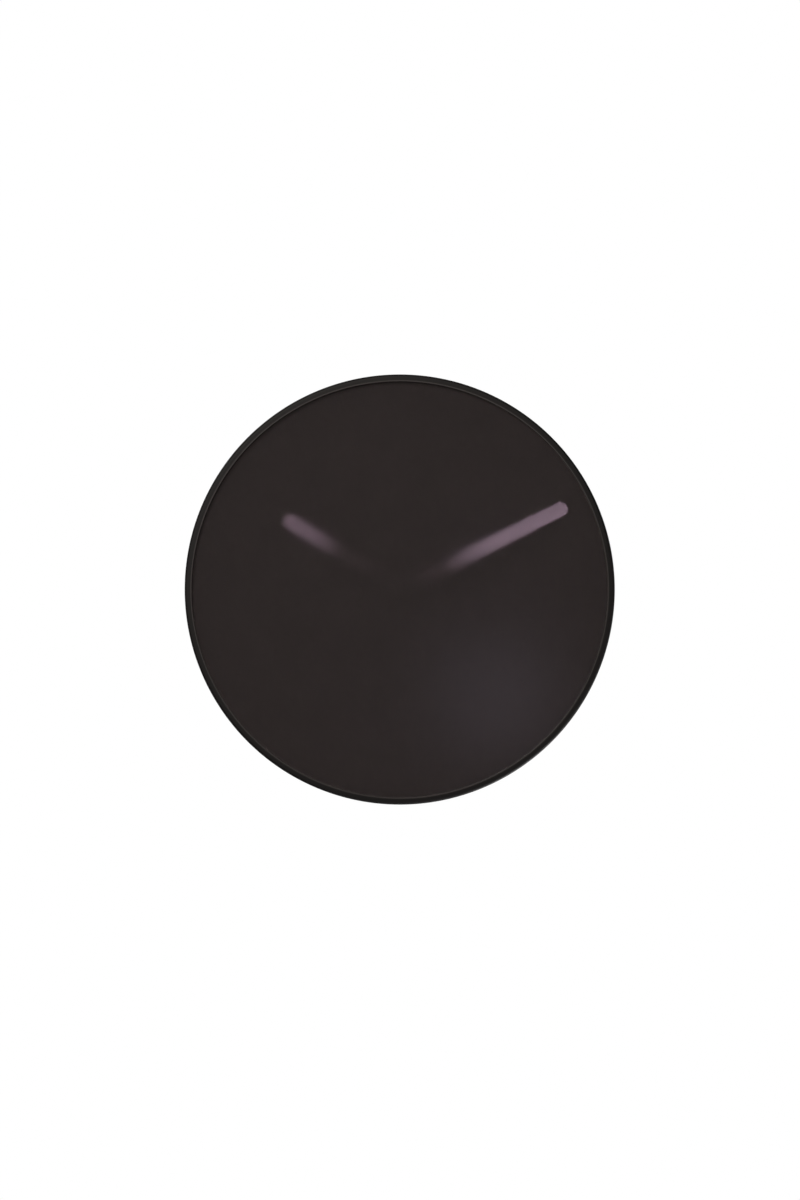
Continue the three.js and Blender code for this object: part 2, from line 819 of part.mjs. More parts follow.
function stator() {
  const [rotorX, rotorZ] = rotorAxis;
  const holeRadius = magnetRadius + magnetGap;
  const disc = at(rotorAxis, rod(holeRadius + statorRingWidth, statorBack, statorFront, roundSegments));
  const armTop = statorArmBottom + statorArmWidth;
  const arm = block(rotorX, statorRight, statorBack, statorFront, statorArmBottom, armTop);
  const legRight = coilAxis - bobbinHalfWidth - seatGap;
  const footBottom = statorFootTop - statorArmWidth;
  const legLeft = legRight - statorArmWidth;
  const leg = block(legLeft, legRight, statorBack, statorFront, footBottom, rotorZ);
  const foot = block(legLeft, statorRight, statorBack, statorFront, footBottom, statorFootTop);
  const hole = at(rotorAxis, rod(holeRadius, statorBack - seatGap, statorFront + seatGap, roundSegments));
  return cut(join(disc, arm, leg, foot), hole);
}

function coilCore() {
  const left = coilAxis - coilCoreWidth / 2;
  const right = coilAxis + coilCoreWidth / 2;
  const bottom = statorFootTop - statorArmWidth;
  const top = statorArmBottom + statorArmWidth;
  const endLeft = coilAxis - coilWidth / 2;
  const bar = block(left, right, coreBack, coreFront, bottom, top);
  const lowerEnd = block(endLeft, statorRight, coreBack, coreFront, bottom, statorFootTop);
  const upperEnd = block(endLeft, statorRight, coreBack, coreFront, statorArmBottom, top);
  return join(bar, lowerEnd, upperEnd);
}

// A bar along Z round the coil's axis, of the given half width and half depth.
function coilBar(halfWidth, halfDepth, bottom, top) {
  const left = coilAxis - halfWidth;
  const back = coilMiddle - halfDepth;
  return block(left, left + 2 * halfWidth, back, back + 2 * halfDepth, bottom, top);
}

function coilBobbin() {
  const boreWidth = coilCoreWidth / 2 + seatGap;
  const boreDepth = coilCoreSheet / 2 + seatGap;
  const tube = coilBar(boreWidth + bobbinWall, boreDepth + bobbinWall, coilBottom, coilTop);
  const lowerFlange = coilBar(bobbinHalfWidth, bobbinHalfDepth, coilBottom, coilBottom + bobbinFlange);
  const upperFlange = coilBar(bobbinHalfWidth, bobbinHalfDepth, coilTop - bobbinFlange, coilTop);
  const bore = coilBar(boreWidth, boreDepth, coilBottom - bobbinFlange, coilTop + bobbinFlange);
  return cut(join(tube, lowerFlange, upperFlange), bore);
}

function coilWinding() {
  const innerWidth = coilCoreWidth / 2 + bobbinWall + 2 * seatGap;
  const innerDepth = coilCoreSheet / 2 + bobbinWall + 2 * seatGap;
  const bottom = coilBottom + bobbinFlange + seatGap;
  const top = coilTop - bobbinFlange - seatGap;
  const bore = coilBar(innerWidth, innerDepth, bottom - bobbinFlange, top + bobbinFlange);
  return cut(coilBar(coilWidth / 2, coilDepth / 2, bottom, top), bore);
}

addPiece("rotor_magnet", at(rotorAxis, rotorMagnet()), darkMagnet);
addPiece("stator", stator(), siliconSteel);
addPiece("coil_core", coilCore(), siliconSteel);
addPiece("coil_bobbin", coilBobbin(), whitePlastic);
addPiece("coil_winding", coilWinding(), copperWire);

// Circuit board on the bridge, with the driver chip and the quartz crystal behind it
const boardRight = innerHalf - boardInset;
const boardLeft = boardRight - boardWidth;
const boardBottom = partitionTop + runningGap;
const boardTop = boardBottom + boardHeight;
const boardFront = bridgeBack - seatGap;
const boardBack = boardFront - boardSheet;
const partsFront = boardBack - seatGap;

function driverChip() {
  const left = boardLeft + chipInset;
  const bottom = boardBottom + chipInset / 2;
  return block(left, left + chipWidth, partsFront - chipHeight, partsFront, bottom, bottom + chipWidth);
}

function quartzCrystal() {
  const centreX = boardRight - chipInset / 2 - crystalLength / 2;
  return new THREE.CylinderGeometry(crystalRadius, crystalRadius, crystalLength, smallSegments)
    .rotateZ(Math.PI / 2)
    .translate(centreX, -(partsFront - crystalRadius), boardTop - 2 * crystalRadius);
}

const circuitBoard = block(boardLeft, boardRight, boardBack, boardFront, boardBottom, boardTop);
addPiece("circuit_board", circuitBoard, greenBoard);
addPiece("driver_chip", driverChip(), blackChip);
addPiece("quartz_crystal", quartzCrystal(), nickelSteel);

// Housing: a moulded tray with a battery bay below and a room for the wheels above
const coverEdge = innerHalf - runningGap;
const bossMiddle = innerHalf - bossWidth / 2;
const coverScrewAxes = [
  [-bossMiddle, bossMiddle],
  [bossMiddle, partitionTop + bossWidth / 2],
];

// A rectangle whose four corners are notched out.
function notchedRectangle(halfWidth, bottom, top, notchWidth, notchHeight) {
  const shape = new THREE.Shape();
  shape.moveTo(-halfWidth + notchWidth, bottom);
  shape.lineTo(halfWidth - notchWidth, bottom);
  shape.lineTo(halfWidth - notchWidth, bottom + notchHeight);
  shape.lineTo(halfWidth, bottom + notchHeight);
  shape.lineTo(halfWidth, top - notchHeight);
  shape.lineTo(halfWidth - notchWidth, top - notchHeight);
  shape.lineTo(halfWidth - notchWidth, top);
  shape.lineTo(-halfWidth + notchWidth, top);
  shape.lineTo(-halfWidth + notchWidth, top - notchHeight);
  shape.lineTo(-halfWidth, top - notchHeight);
  shape.lineTo(-halfWidth, bottom + notchHeight);
  shape.lineTo(-halfWidth + notchWidth, bottom + notchHeight);
  return shape;
}

function movementHousing() {
  const half = movementWidth / 2;
  const shell = prism(roundedRectangle(-half, half, -half, half, movementCorner), coverBack, housingFront);
  const coverSeat = coverFront + seatGap;
  const bridgeSeat = bridgeFront + seatGap;
  const ledgeEdge = innerHalf - ledgeWidth;
  const motionNotch = bossWidth - ledgeWidth;
  const trainOutline = notchedRectangle(innerHalf, partitionTop, innerHalf, bossWidth, bossWidth);
  const motionOutline = notchedRectangle(ledgeEdge, partitionTop, innerHalf, motionNotch, bossWidth);
  const screwHoles = coverScrewAxes.map((axis) =>
    at(axis, rod(coverScrewRadius + seatGap, coverBack, coverFront + coverScrewLength)),
  );
  return cut(
    shell,
    block(-innerHalf, innerHalf, coverBack - seatGap, coverSeat, partitionTop, innerHalf),
    prism(trainOutline, coverBack, bridgeSeat),
    prism(motionOutline, coverBack, housingInnerFront),
    block(-innerHalf, innerHalf, coverBack - seatGap, housingInnerFront, -innerHalf, partitionBottom),
    rod(bushingRadius + seatGap, bridgeBack, housingFront + seatGap, roundSegments),
    pivotHole(motionAxis, bridgeBack, housingInnerFront + pivotLength),
    pivotHole(settingAxis, bridgeBack, housingInnerFront + pivotLength),
    ...screwHoles,
  );
}

function trainBridge() {
  const notch = bossWidth;
  const outline = notchedRectangle(coverEdge, boardBottom, coverEdge, notch, notch);
  const pivotAxes = [thirdAxis, secondsAxis, fifthAxis, rotorAxis, motionAxis];
  const through = (radius) => rod(radius, bridgeBack - seatGap, bridgeFront + seatGap);
  return cut(
    prism(outline, bridgeBack, bridgeFront),
    through(centreArborRadius + runningGap),
    at(settingAxis, through(settingShaftRadius + runningGap)),
    ...pivotAxes.map((axis) => pivotHole(axis, bridgeBack - seatGap, bridgeFront + seatGap)),
  );
}

function movementCover() {
  const plate = block(-coverEdge, coverEdge, coverBack, coverFront, boardBottom, coverEdge);
  const pivotAxes = [centreAxis, thirdAxis, secondsAxis, fifthAxis, rotorAxis];
  const pivotHoles = pivotAxes.map((axis) => pivotHole(axis, coverFront - pivotLength, coverFront + seatGap));
  const shaftHole = rod(settingShaftRadius + runningGap, coverBack - seatGap, coverFront + seatGap);
  const headFront = coverBack + coverScrewHeadHeight + seatGap;
  const screwHoles = coverScrewAxes.flatMap((axis) => [
    at(axis, rod(coverScrewRadius + seatGap, coverBack, coverFront + seatGap)),
    at(axis, rod(coverScrewHeadRadius + seatGap, coverBack - seatGap, headFront)),
  ]);
  return cut(plate, ...pivotHoles, at(settingAxis, shaftHole), ...screwHoles);
}

function coverScrew() {
  const headFront = coverBack + coverScrewHeadHeight;
  return revolve(
    [
      [0, coverBack],
      [coverScrewHeadRadius, coverBack],
      [coverScrewHeadRadius, headFront],
      [coverScrewRadius, headFront],
      [coverScrewRadius, coverBack + coverScrewLength],
      [0, coverBack + coverScrewLength],
    ],
    pivotSegments,
  );
}

addPiece("movement_housing", movementHousing(), blackPlastic);
addPiece("train_bridge", trainBridge(), whitePlastic);
addPiece("movement_cover", movementCover(), blackPlastic);
coverScrewAxes.forEach((axis, i) => {
  addPiece(`cover_screw_${i + 1}`, at(axis, coverScrew()), zincSteel);
});

// Battery: a single cell lying across the bay, its nub to the right
const contactRight = innerHalf - seatGap;
const nubEnd = contactRight - contactSheet - contactDimple - seatGap;
const batteryRight = nubEnd - batteryNubLength;
const batteryLeft = batteryRight - batteryLength;

// Lays a piece that was revolved about the clock's axis along X, in the middle of the battery bay.
function alongBattery(geometry) {
  return geometry.rotateZ(Math.PI / 2).translate(0, -batteryAxisDepth, batteryAxisZ);
}

function battery() {
  const shoulder = batteryRadius - batteryEdge;
  return alongBattery(
    revolve(
      [
        [0, batteryLeft],
        [shoulder, batteryLeft],
        [batteryRadius, batteryLeft + batteryEdge],
        [batteryRadius, batteryRight - batteryEdge],
        [shoulder, batteryRight],
        [batteryNubRadius, batteryRight],
        [batteryNubRadius, nubEnd],
        [0, nubEnd],
      ],
      roundSegments,
    ),
  );
}

function contactPlate(left) {
  const back = batteryAxisDepth - contactWidth / 2;
  const bottom = batteryAxisZ - contactHeight / 2;
  return block(left, left + contactSheet, back, back + contactWidth, bottom, bottom + contactHeight);
}

function positiveContact() {
  const dimple = alongBattery(rod(batteryNubRadius / 2, nubEnd + seatGap, contactRight - contactSheet / 2));
  return join(contactPlate(contactRight - contactSheet), dimple);
}

// A leaf folded back on itself, whose free end presses on the battery.
function negativeContact() {
  const wall = -contactRight;
  const bottom = batteryAxisZ - contactHeight / 2;
  const top = bottom + contactHeight;
  const tongueTip = batteryLeft - seatGap;
  const leaf = new THREE.Shape();
  leaf.moveTo(wall, bottom);
  leaf.lineTo(wall + contactFold, bottom);
  leaf.lineTo(tongueTip, batteryAxisZ);
  leaf.lineTo(tongueTip - contactSheet, top - 2 * contactSheet);
  leaf.lineTo(tongueTip - 2 * contactSheet, top - 2 * contactSheet);
  leaf.lineTo(tongueTip - contactSheet, batteryAxisZ);
  leaf.lineTo(wall + contactSheet, bottom + contactSheet);
  leaf.lineTo(wall + contactSheet, top);
  leaf.lineTo(wall, top);
  const back = batteryAxisDepth - contactWidth / 2;
  return prism(leaf, back, back + contactWidth);
}

addPiece("battery", battery(), batterySleeve);
addPiece("positive_contact", positiveContact(), nickelSteel);
addPiece("negative_contact", negativeContact(), nickelSteel);

// What fastens the movement to the dish: bushing, washers and nut
function threadedBushing() {
  const flangeFront = housingInnerFront - seatGap;
  return revolve(
    [
      [bushingBore, flangeFront - bushingFlangeHeight],
      [bushingFlangeRadius, flangeFront - bushingFlangeHeight],
      [bushingFlangeRadius, flangeFront],
      [bushingRadius, flangeFront],
      [bushingRadius, bushingFront],
      [bushingBore, bushingFront],
    ],
    roundSegments,
  );
}

function hexNut() {
  const cornerRadius = nutAcrossFlats / 2 / Math.cos(Math.PI / 6);
  const bore = rod(bushingRadius + seatGap, nutBack - seatGap, nutFront + seatGap, roundSegments);
  return cut(rod(cornerRadius, nutBack, nutFront, 6), bore);
}

function washer(radius, back, thickness) {
  return ring(bushingRadius + runningGap, radius, back, back + thickness, roundSegments);
}

addPiece("threaded_bushing", threadedBushing(), brass);
addPiece("rubber_washer", washer(rubberWasherRadius, rubberWasherBack, rubberWasherThickness), blackRubber);
addPiece("brass_washer", washer(brassWasherRadius, brassWasherBack, brassWasherThickness), brass);
addPiece("hex_nut", hexNut(), brass);

// Hands: flat bars with a round end, bent forward from a deep hub to just behind the lens

// How far a hand has come forward at a distance from its axis: nothing over the eye, all at the tip.
function handForward(radius) {
  const share = (radius - handEyeRadius) / (minuteHandLength - handEyeRadius);
  const clamped = Math.min(Math.max(share, 0), 1);
  return handRise * (1 - (1 - clamped) ** handCurve);
}

function hand(length, back, holeRadius) {
  const half = handWidth / 2;
  const neck = Math.asin(half / handEyeRadius);
  const plan = new THREE.Shape();
  plan.absarc(length - half, 0, half, -Math.PI / 2, Math.PI / 2);
  plan.absarc(0, 0, handEyeRadius, neck, fullTurn - neck);
  plan.holes.push(new THREE.Path().absarc(0, 0, holeRadius, 0, fullTurn));

  const inner = Array.from({ length: handSteps + 1 }, (_, i) =>
    handEyeRadius + ((length - handEyeRadius) * i) / handSteps,
  );
  const margin = 2 * handEyeRadius;
  const stations = [-margin, ...inner, length + margin];
  const rear = stations.map((radius) => new THREE.Vector2(radius, -(back + handForward(radius))));
  const front = rear.map((point) => new THREE.Vector2(point.x, point.y - handSheet)).reverse();
  const bar = new THREE.ExtrudeGeometry(new THREE.Shape([...front, ...rear]), {
    depth: 2 * margin,
    bevelEnabled: false,
  }).translate(0, 0, -margin);
  return common(bar, prism(plan, back - handSheet, back + handRise + 2 * handSheet));
}

function handCap() {
  const socket = minuteShaftRadius + seatGap;
  const front = capBack + capThickness;
  return revolve(
    [
      [0, capBack + capSocketDepth],
      [socket, capBack + capSocketDepth],
      [socket, capBack],
      [capRadius, capBack],
      [capRadius, front - capEdge],
      [capRadius - capEdge, front],
      [0, front],
    ],
    smallSegments,
  );
}

const hourTop = turned(hourHandAngle);
const minuteTop = turned(minuteHandAngle);
addPiece(
  "hour_hand",
  hand(hourHandLength, hourHandBack, hourPipeRadius + seatGap),
  mauveHand,
  hourTop,
);
addPiece(
  "hour_hand_collet",
  ring(hourPipeRadius + seatGap, colletRadius, hourColletBack, hourHandBack - seatGap, roundSegments),
  brass,
);
addPiece(
  "minute_hand",
  hand(minuteHandLength, minuteHandBack, minuteShaftRadius + seatGap),
  mauveHand,
  minuteTop,
);
addPiece(
  "minute_hand_collet",
  ring(minuteShaftRadius + seatGap, colletRadius, minuteColletBack, minuteHandBack - seatGap, roundSegments),
  brass,
);
addPiece("minute_hand_cap", handCap(), brass);

export default clock;
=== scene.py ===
# %% [markdown]
# # A steel wall clock with a frosted lens
# A round case of black enamelled steel, a smoked lens with a fine satin in front and a deep etch behind, and two
# slanted hands whose tips nearly touch the lens. The etched face blurs what lies behind it, and blurs it more
# the further back it lies, so each hand is sharp at its tip and melts away towards the hub.
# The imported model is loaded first. It fixes where every piece is, and this script gives the pieces their looks.

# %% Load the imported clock
import json
import math

import bmesh
import bpy
import numpy as np
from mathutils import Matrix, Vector


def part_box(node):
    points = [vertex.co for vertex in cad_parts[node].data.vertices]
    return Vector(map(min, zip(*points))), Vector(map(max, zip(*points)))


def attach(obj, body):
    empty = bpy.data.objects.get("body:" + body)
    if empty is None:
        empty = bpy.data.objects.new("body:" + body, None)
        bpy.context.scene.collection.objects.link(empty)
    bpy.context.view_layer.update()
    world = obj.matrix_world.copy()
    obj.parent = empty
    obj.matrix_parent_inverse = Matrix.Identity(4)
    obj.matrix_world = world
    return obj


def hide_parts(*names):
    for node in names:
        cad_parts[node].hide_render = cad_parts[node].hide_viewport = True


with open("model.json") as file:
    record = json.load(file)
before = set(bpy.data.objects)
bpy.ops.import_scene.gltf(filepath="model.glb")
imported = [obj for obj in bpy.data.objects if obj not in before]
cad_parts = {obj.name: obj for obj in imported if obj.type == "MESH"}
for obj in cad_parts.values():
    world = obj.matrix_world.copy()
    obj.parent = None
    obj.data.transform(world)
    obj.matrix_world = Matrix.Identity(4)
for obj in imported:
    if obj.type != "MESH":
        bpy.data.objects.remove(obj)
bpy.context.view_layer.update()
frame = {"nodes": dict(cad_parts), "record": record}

# %% [markdown]
# ## Measures
# Sizes are in millimetres. A depth is a distance from the wall, counted towards the face, so a point at depth d
# lies at y = -d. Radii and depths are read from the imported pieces, which keeps the two models in step.

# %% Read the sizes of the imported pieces
MM = 0.001


def depths(node):
    """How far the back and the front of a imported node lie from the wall."""
    low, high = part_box(node)
    return -high.y / MM, -low.y / MM


def across(node):
    """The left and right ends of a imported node."""
    low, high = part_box(node)
    return low.x / MM, high.x / MM


def radius_of(node):
    """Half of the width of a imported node."""
    left, right = across(node)
    return (right - left) / 2


def axis_of(node):
    """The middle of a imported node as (x, z)."""
    low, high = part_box(node)
    return (low.x + high.x) / 2 / MM, (low.z + high.z) / 2 / MM


def foot_of(node):
    """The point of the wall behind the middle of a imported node, as (x, depth, z)."""
    x, z = axis_of(node)
    return x, 0, z


CLOCK_AXIS = axis_of("bezel")
CLOCK_RADIUS = radius_of("bezel")
CLOCK_DEPTH = depths("bezel")[1]
print("clock axis", CLOCK_AXIS, "radius", CLOCK_RADIUS, "depth", CLOCK_DEPTH)

# %% [markdown]
# ## Camera
# The clock is seen square on. Its rim is 430.3 pixels across in the 800 by 1200 picture, and its middle lies a
# little above the picture's middle. The lens and the distance follow from that, with no shift. What the camera
# sees of the rim is its widest line, which lies behind the front by the radius of the rim's round edge.

# %% Place the camera
PICTURE_HEIGHT = 1200
PICTURE_MIDDLE = (399.5, 599.5)
RIM_MIDDLE = (399.25, 589.04)
RIM_WIDTH = 430.28
RIM_ROUND = 2.0
SENSOR = 36
FOCAL_LENGTH = 100

pixel = 2 * CLOCK_RADIUS / RIM_WIDTH
distance = FOCAL_LENGTH * pixel * PICTURE_HEIGHT / SENSOR
camera = bpy.data.objects.new("camera", bpy.data.cameras.new("camera"))
camera.data.lens = FOCAL_LENGTH
camera.data.sensor_width = SENSOR
camera.location = Vector((
    CLOCK_AXIS[0] + pixel * (PICTURE_MIDDLE[0] - RIM_MIDDLE[0]),
    -(CLOCK_DEPTH - RIM_ROUND + distance),
    CLOCK_AXIS[1] + pixel * (RIM_MIDDLE[1] - PICTURE_MIDDLE[1]),
)) * MM
camera.rotation_euler = (math.pi / 2, 0, 0)
bpy.context.scene.collection.objects.link(camera)
bpy.context.scene.camera = camera
print(f"one pixel is {pixel:.3f} mm, the camera stands {distance:.0f} mm in front of the clock")

# %% [markdown]
# ## Surfaces from grids
# Nearly every piece of a clock is turned, pressed or cut from sheet. All of them can be written as a grid of
# points: one direction runs along a profile, the other round an axis or an outline. numpy works the whole grid
# out at once, and one function turns any grid into faces.

# %% Grids
def unit(vector):
    """A vector's direction: the vector over its length."""
    return np.asarray(vector, float) / np.linalg.norm(vector)


def grid(*columns):
    """A grid from its columns, each of them one number or an array, with the columns along its last direction."""
    return np.stack(np.broadcast_arrays(*columns), axis=-1)


def in_metres(points):
    """Blender's (x, y, z) in metres for (x, depth, z) points in mm."""
    return grid(points[..., 0], -points[..., 1], points[..., 2]) * MM


def as_surface(points, wrap):
    """Vertices and quads of a grid of (x, depth, z) points. Each point is joined to the next along both
    directions, the last row to the first, and where the grid wraps, the last column to the first."""
    rows, columns = points.shape[:2]
    index = np.arange(rows * columns).reshape(rows, columns)
    index = np.vstack([index, index[:1]])
    if wrap:
        index = np.hstack([index, index[:, :1]])
    corners = [index[:-1, :-1], index[1:, :-1], index[1:, 1:], index[:-1, 1:]]
    return in_metres(points).reshape(-1, 3), grid(*corners).reshape(-1, 4).tolist()


# %% [markdown]
# ## Profiles
# A profile is a list of corners as (radius, depth), and a third number rounds the corner. Real edges are never
# quite sharp, and it is the round of an edge that catches a line of light. A few roundings come back on many
# pieces: what a fine tool leaves, a cut edge, a broken one and a pressed one.

# %% Rounded corners
FINE_EDGE = 0.1
CUT_EDGE = 0.15
BROKEN_EDGE = 0.2
PRESSED_EDGE = 0.3
ARC_POINTS = 4
PROFILE_SHOULDER = 0.2


def turned(x, z, angle):
    """Plan coordinates turned by an angle a: x cos a - z sin a, and x sin a + z cos a."""
    return x * np.cos(angle) - z * np.sin(angle), x * np.sin(angle) + z * np.cos(angle)


def arc_at(corner, before, after, radius):
    """The arc that touches both sides of a corner: its middle lies on the line that halves the corner, at the
    radius over the sine of half the angle. A point a little way along each side makes the flat shade flat."""
    last, following = unit(before - corner), unit(after - corner)
    half = math.acos(np.clip(last @ following, -1, 1)) / 2
    middle = corner + unit(last + following) * radius / math.sin(half)
    start = corner + last * radius / math.tan(half) - middle
    turn = math.copysign(1, last[1] * following[0] - last[0] * following[1])
    angles = turn * np.linspace(0, math.pi - 2 * half, ARC_POINTS + math.ceil(radius))
    arc = middle + grid(*turned(*start, angles))
    shoulder = min(radius / 2, PROFILE_SHOULDER)
    return np.vstack([arc[0] + last * shoulder, arc, arc[-1] + following * shoulder])


def rounded(corners):
    """A profile through (radius, depth) or (radius, depth, rounding) corners, with an arc at each rounding."""
    points = np.array([corner[:2] for corner in corners], float)
    profile = []
    for i, corner in enumerate(corners):
        if len(corner) == 2:
            profile.append(points[i])
        else:
            profile.append(arc_at(points[i], points[i - 1], points[(i + 1) % len(points)], corner[2]))
    return np.vstack(profile)


square = [(0, 0), (10, 0, PRESSED_EDGE), (10, 10, PRESSED_EDGE), (0, 10)]
print("a square's four corners, two of them rounded, are", len(rounded(square)), "points")

# %% [markdown]
# ## Turned surfaces
# Most pieces are turned. The profile goes round an axis, which is the clock's own unless another is given. The
# profile of a solid piece is open, and starts and ends on the axis. That of a ring is closed.

# %% Surfaces round an axis
FULL_TURN = 2 * math.pi
CLOCK_FOOT = foot_of("bezel")
TOWARDS_FACE = (0, 1, 0)
NEARLY_UPRIGHT = 0.9


def around(radius, along, start=CLOCK_FOOT, axis=TOWARDS_FACE, closed=True):
    """A surface round an axis. Row i of the radii is the profile at the angle a = 2 pi i / rows: each of its
    points lies at start + axis * along + radius * (u cos a + v sin a), where u and v are square to the axis."""
    axis = unit(axis)
    u = unit(np.cross(axis, (0, 0, 1) if abs(axis[2]) < NEARLY_UPRIGHT else (1, 0, 0)))
    angles = np.linspace(0, FULL_TURN, len(radius), endpoint=False)[:, None]
    out = np.cos(angles) * u + np.sin(angles) * np.cross(u, axis)
    points = np.array(start) + along[..., None] * axis + radius[..., None] * out[:, None]
    return as_surface(points, closed)


def lathe(profile, segments=96, **placing):
    """A turned piece: the same profile of (radius, distance along the axis) points at every angle."""
    radius, along = np.transpose(profile)
    return around(np.tile(radius, (segments, 1)), along, **placing)


def rod(start, end, radius, segments=48):
    """A plain round bar between two (x, depth, z) points, closed at both ends."""
    axis = np.subtract(end, start)
    length = np.linalg.norm(axis)
    profile = [(0, 0), (radius, 0), (radius, length), (0, length)]
    return lathe(profile, segments, start=start, axis=axis, closed=False)


# %% [markdown]
# ## From surfaces to pieces
# A turned grid has doubled points where it meets its axis. They are merged, and all faces are turned outwards.
# Holes are cut by Blender's boolean. A finished piece then stands in for its imported node: it hides the node and
# rides on the same moving body.

# %% Meshes and pieces
MERGE_DISTANCE = 0.001
SHARP_ANGLE = math.radians(32)
BODY_OF = {
    node: body for body, nodes in frame["record"]["behaviour"]["bodies"].items() for node in nodes
}


def cleaned(mesh, merge_distance, flat_angle=0.0):
    """Merges the points of a mesh that are closer than a distance, joins faces that lie flat within an angle, and
    turns all faces outwards."""
    shell = bmesh.new()
    shell.from_mesh(mesh)
    bmesh.ops.remove_doubles(shell, verts=shell.verts, dist=merge_distance * MM)
    if flat_angle:
        bmesh.ops.dissolve_limit(shell, angle_limit=flat_angle, verts=shell.verts, edges=shell.edges)
    bmesh.ops.recalc_face_normals(shell, faces=shell.faces)
    shell.to_mesh(mesh)
    shell.free()
    return mesh


def closed_mesh(surface, *cutters):
    """A mesh from the vertices and faces of a surface, with other surfaces cut out of it one after the other."""
    vertices, faces = surface
    mesh = bpy.data.meshes.new("surface")
    mesh.from_pydata(vertices.tolist(), [], faces)
    cleaned(mesh, MERGE_DISTANCE)
    for cutter in cutters:
        piece = bpy.data.objects.new("carved", mesh)
        tool = bpy.data.objects.new("cutter", closed_mesh(cutter))
        for helper in (piece, tool):
            bpy.context.scene.collection.objects.link(helper)
        cut = piece.modifiers.new("cut", "BOOLEAN")
        cut.operation, cut.object = "DIFFERENCE", tool
        bpy.context.view_layer.update()
        result = piece.evaluated_get(bpy.context.evaluated_depsgraph_get())
        mesh = bpy.data.meshes.new_from_object(result)
        for helper in (piece, tool):
            bpy.data.objects.remove(helper)
    return mesh


def add_piece(name, material, node, mesh, edge=0.0):
    """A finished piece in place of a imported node. Creases over 32 degrees stay crisp, and an edge width in mm
    rounds them with a Bevel modifier."""
    mesh.name = name
    mesh.shade_smooth()
    mesh.set_sharp_from_angle(angle=SHARP_ANGLE)
    mesh.materials.clear()
    mesh.materials.append(material)
    piece = bpy.data.objects.new(name, mesh)
    bpy.context.scene.collection.objects.link(piece)
    if edge:
        bevel = piece.modifiers.new("edge", "BEVEL")
        bevel.width, bevel.segments = edge * MM, 2
        bevel.limit_method, bevel.angle_limit = "ANGLE", SHARP_ANGLE
        bevel.harden_normals = True
    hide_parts(node)
    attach(piece, BODY_OF[node])
    print(f"{name}: {len(mesh.polygons)} faces, on {BODY_OF[node]}")
    return piece


def add_turned(name, material, node, corners, segments=96, start=CLOCK_FOOT, cutters=()):
    """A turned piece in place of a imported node. Its profile is open where its first corner is on the axis."""
    closed = corners[0][0] > MERGE_DISTANCE
    surface = lathe(rounded(corners), segments, start=start, closed=closed)
    return add_piece(name, material, node, closed_mesh(surface, *cutters))


# %% [markdown]
# ## Colours and nodes
# Colours are the ones that a screen shows, as sRGB hex, and Blender's shaders want linear light. Each material is
# then a handful of nodes hung on one Principled shader. Most finishes are told by three things: a tint that
# drifts, a sheen that drifts, and a relief too shallow to model. Patterns read Object coordinates, which are
# metres here, so a pattern of a given size in millimetres has a scale of 1 over that size.

# %% Helpers for materials
def srgb(code):
    """Linear colour of an sRGB hex code: c/12.92 near black, otherwise ((c + 0.055)/1.055) to the power 2.4."""
    values = np.array([int(code[i:i + 2], 16) for i in (1, 3, 5)]) / 255
    linear = np.where(values <= 0.04045, values / 12.92, ((values + 0.055) / 1.055) ** 2.4)
    return (*linear.tolist(), 1.0)


def fill(node, inputs):
    """Fills a node's inputs: another node's output is linked, a number or colour is set."""
    for name, value in inputs.items():
        if isinstance(value, bpy.types.NodeSocket):
            node.id_data.links.new(value, node.inputs[name])
        else:
            node.inputs[name].default_value = value


def add_node(tree, kind, result, inputs, **settings):
    """Adds a node with its settings and inputs, and returns the output that is named."""
    node = tree.nodes.new("ShaderNode" + kind)
    for name, value in settings.items():
        setattr(node, name, value)
    fill(node, inputs)
    return node.outputs[result]


def sized(place, size, **more):
    """A pattern's inputs: where it is read, the scale that makes its features size mm across, and any others."""
    return {"Vector": place, "Scale": 1 / (size * MM), **more}


def new_material(name, color, roughness, metallic=0.0):
    """A material with one Principled shader. Returns the material, its tree, the shader and Object coordinates."""
    material = bpy.data.materials.new(name)
    material.use_nodes = True
    material.diffuse_color = color
    tree = material.node_tree
    shader = tree.nodes["Principled BSDF"]
    fill(shader, {"Base Color": color, "Roughness": roughness, "Metallic": metallic})
    print(f"{name}: roughness {roughness}, metallic {metallic}")
    return material, tree, shader, add_node(tree, "TexCoord", "Object", {})


def hang(shader, tint=None, sheen=None, relief=None):
    """Hangs patterns on a shader. A tint is a pattern and the colours at its two ends, a sheen is a pattern and
    the roughness at its two ends, and a relief is a pattern, its height in mm and its strength."""
    tree, inputs = shader.id_data, {}
    if tint:
        ends = dict(zip(("Factor", "A", "B"), tint))
        inputs["Base Color"] = add_node(tree, "Mix", "Result", ends, data_type="RGBA")
    if sheen:
        ends = dict(zip(("Value", "To Min", "To Max"), sheen))
        inputs["Roughness"] = add_node(tree, "MapRange", "Result", ends)
    if relief:
        height, distance, strength = relief
        bump = {"Height": height, "Distance": distance * MM, "Strength": strength}
        inputs["Normal"] = add_node(tree, "Bump", "Normal", bump)
    fill(shader, inputs)


# %% [markdown]
# ## Black stoved enamel
# The case and the bezel are mild steel, spun and pressed, with a satin black enamel baked on. Enamel is a
# dielectric over metal, so it isn't metallic here, but it mirrors a little more than plain paint. Its skin pulls
# into a shallow orange peel about 2 mm across, which breaks up every highlight a little, and its sheen drifts over
# a few centimetres. A second, smoother enamel on the lip's inner edge is much lighter: its colour is a painted
# highlight, a thin bright line round the lens.

# %% Enamel
ENAMEL_BLACK = srgb("#343132")
ENAMEL_DEEP = srgb("#2e2b2c")
# The two lighter colours are a painted highlight along the lip's inner edge.
PAINTED_HIGHLIGHT_GREY = srgb("#746f6f")
PAINTED_HIGHLIGHT_DEEP = srgb("#676262")
SHEEN_DRIFT = 45
ORANGE_PEEL = 2


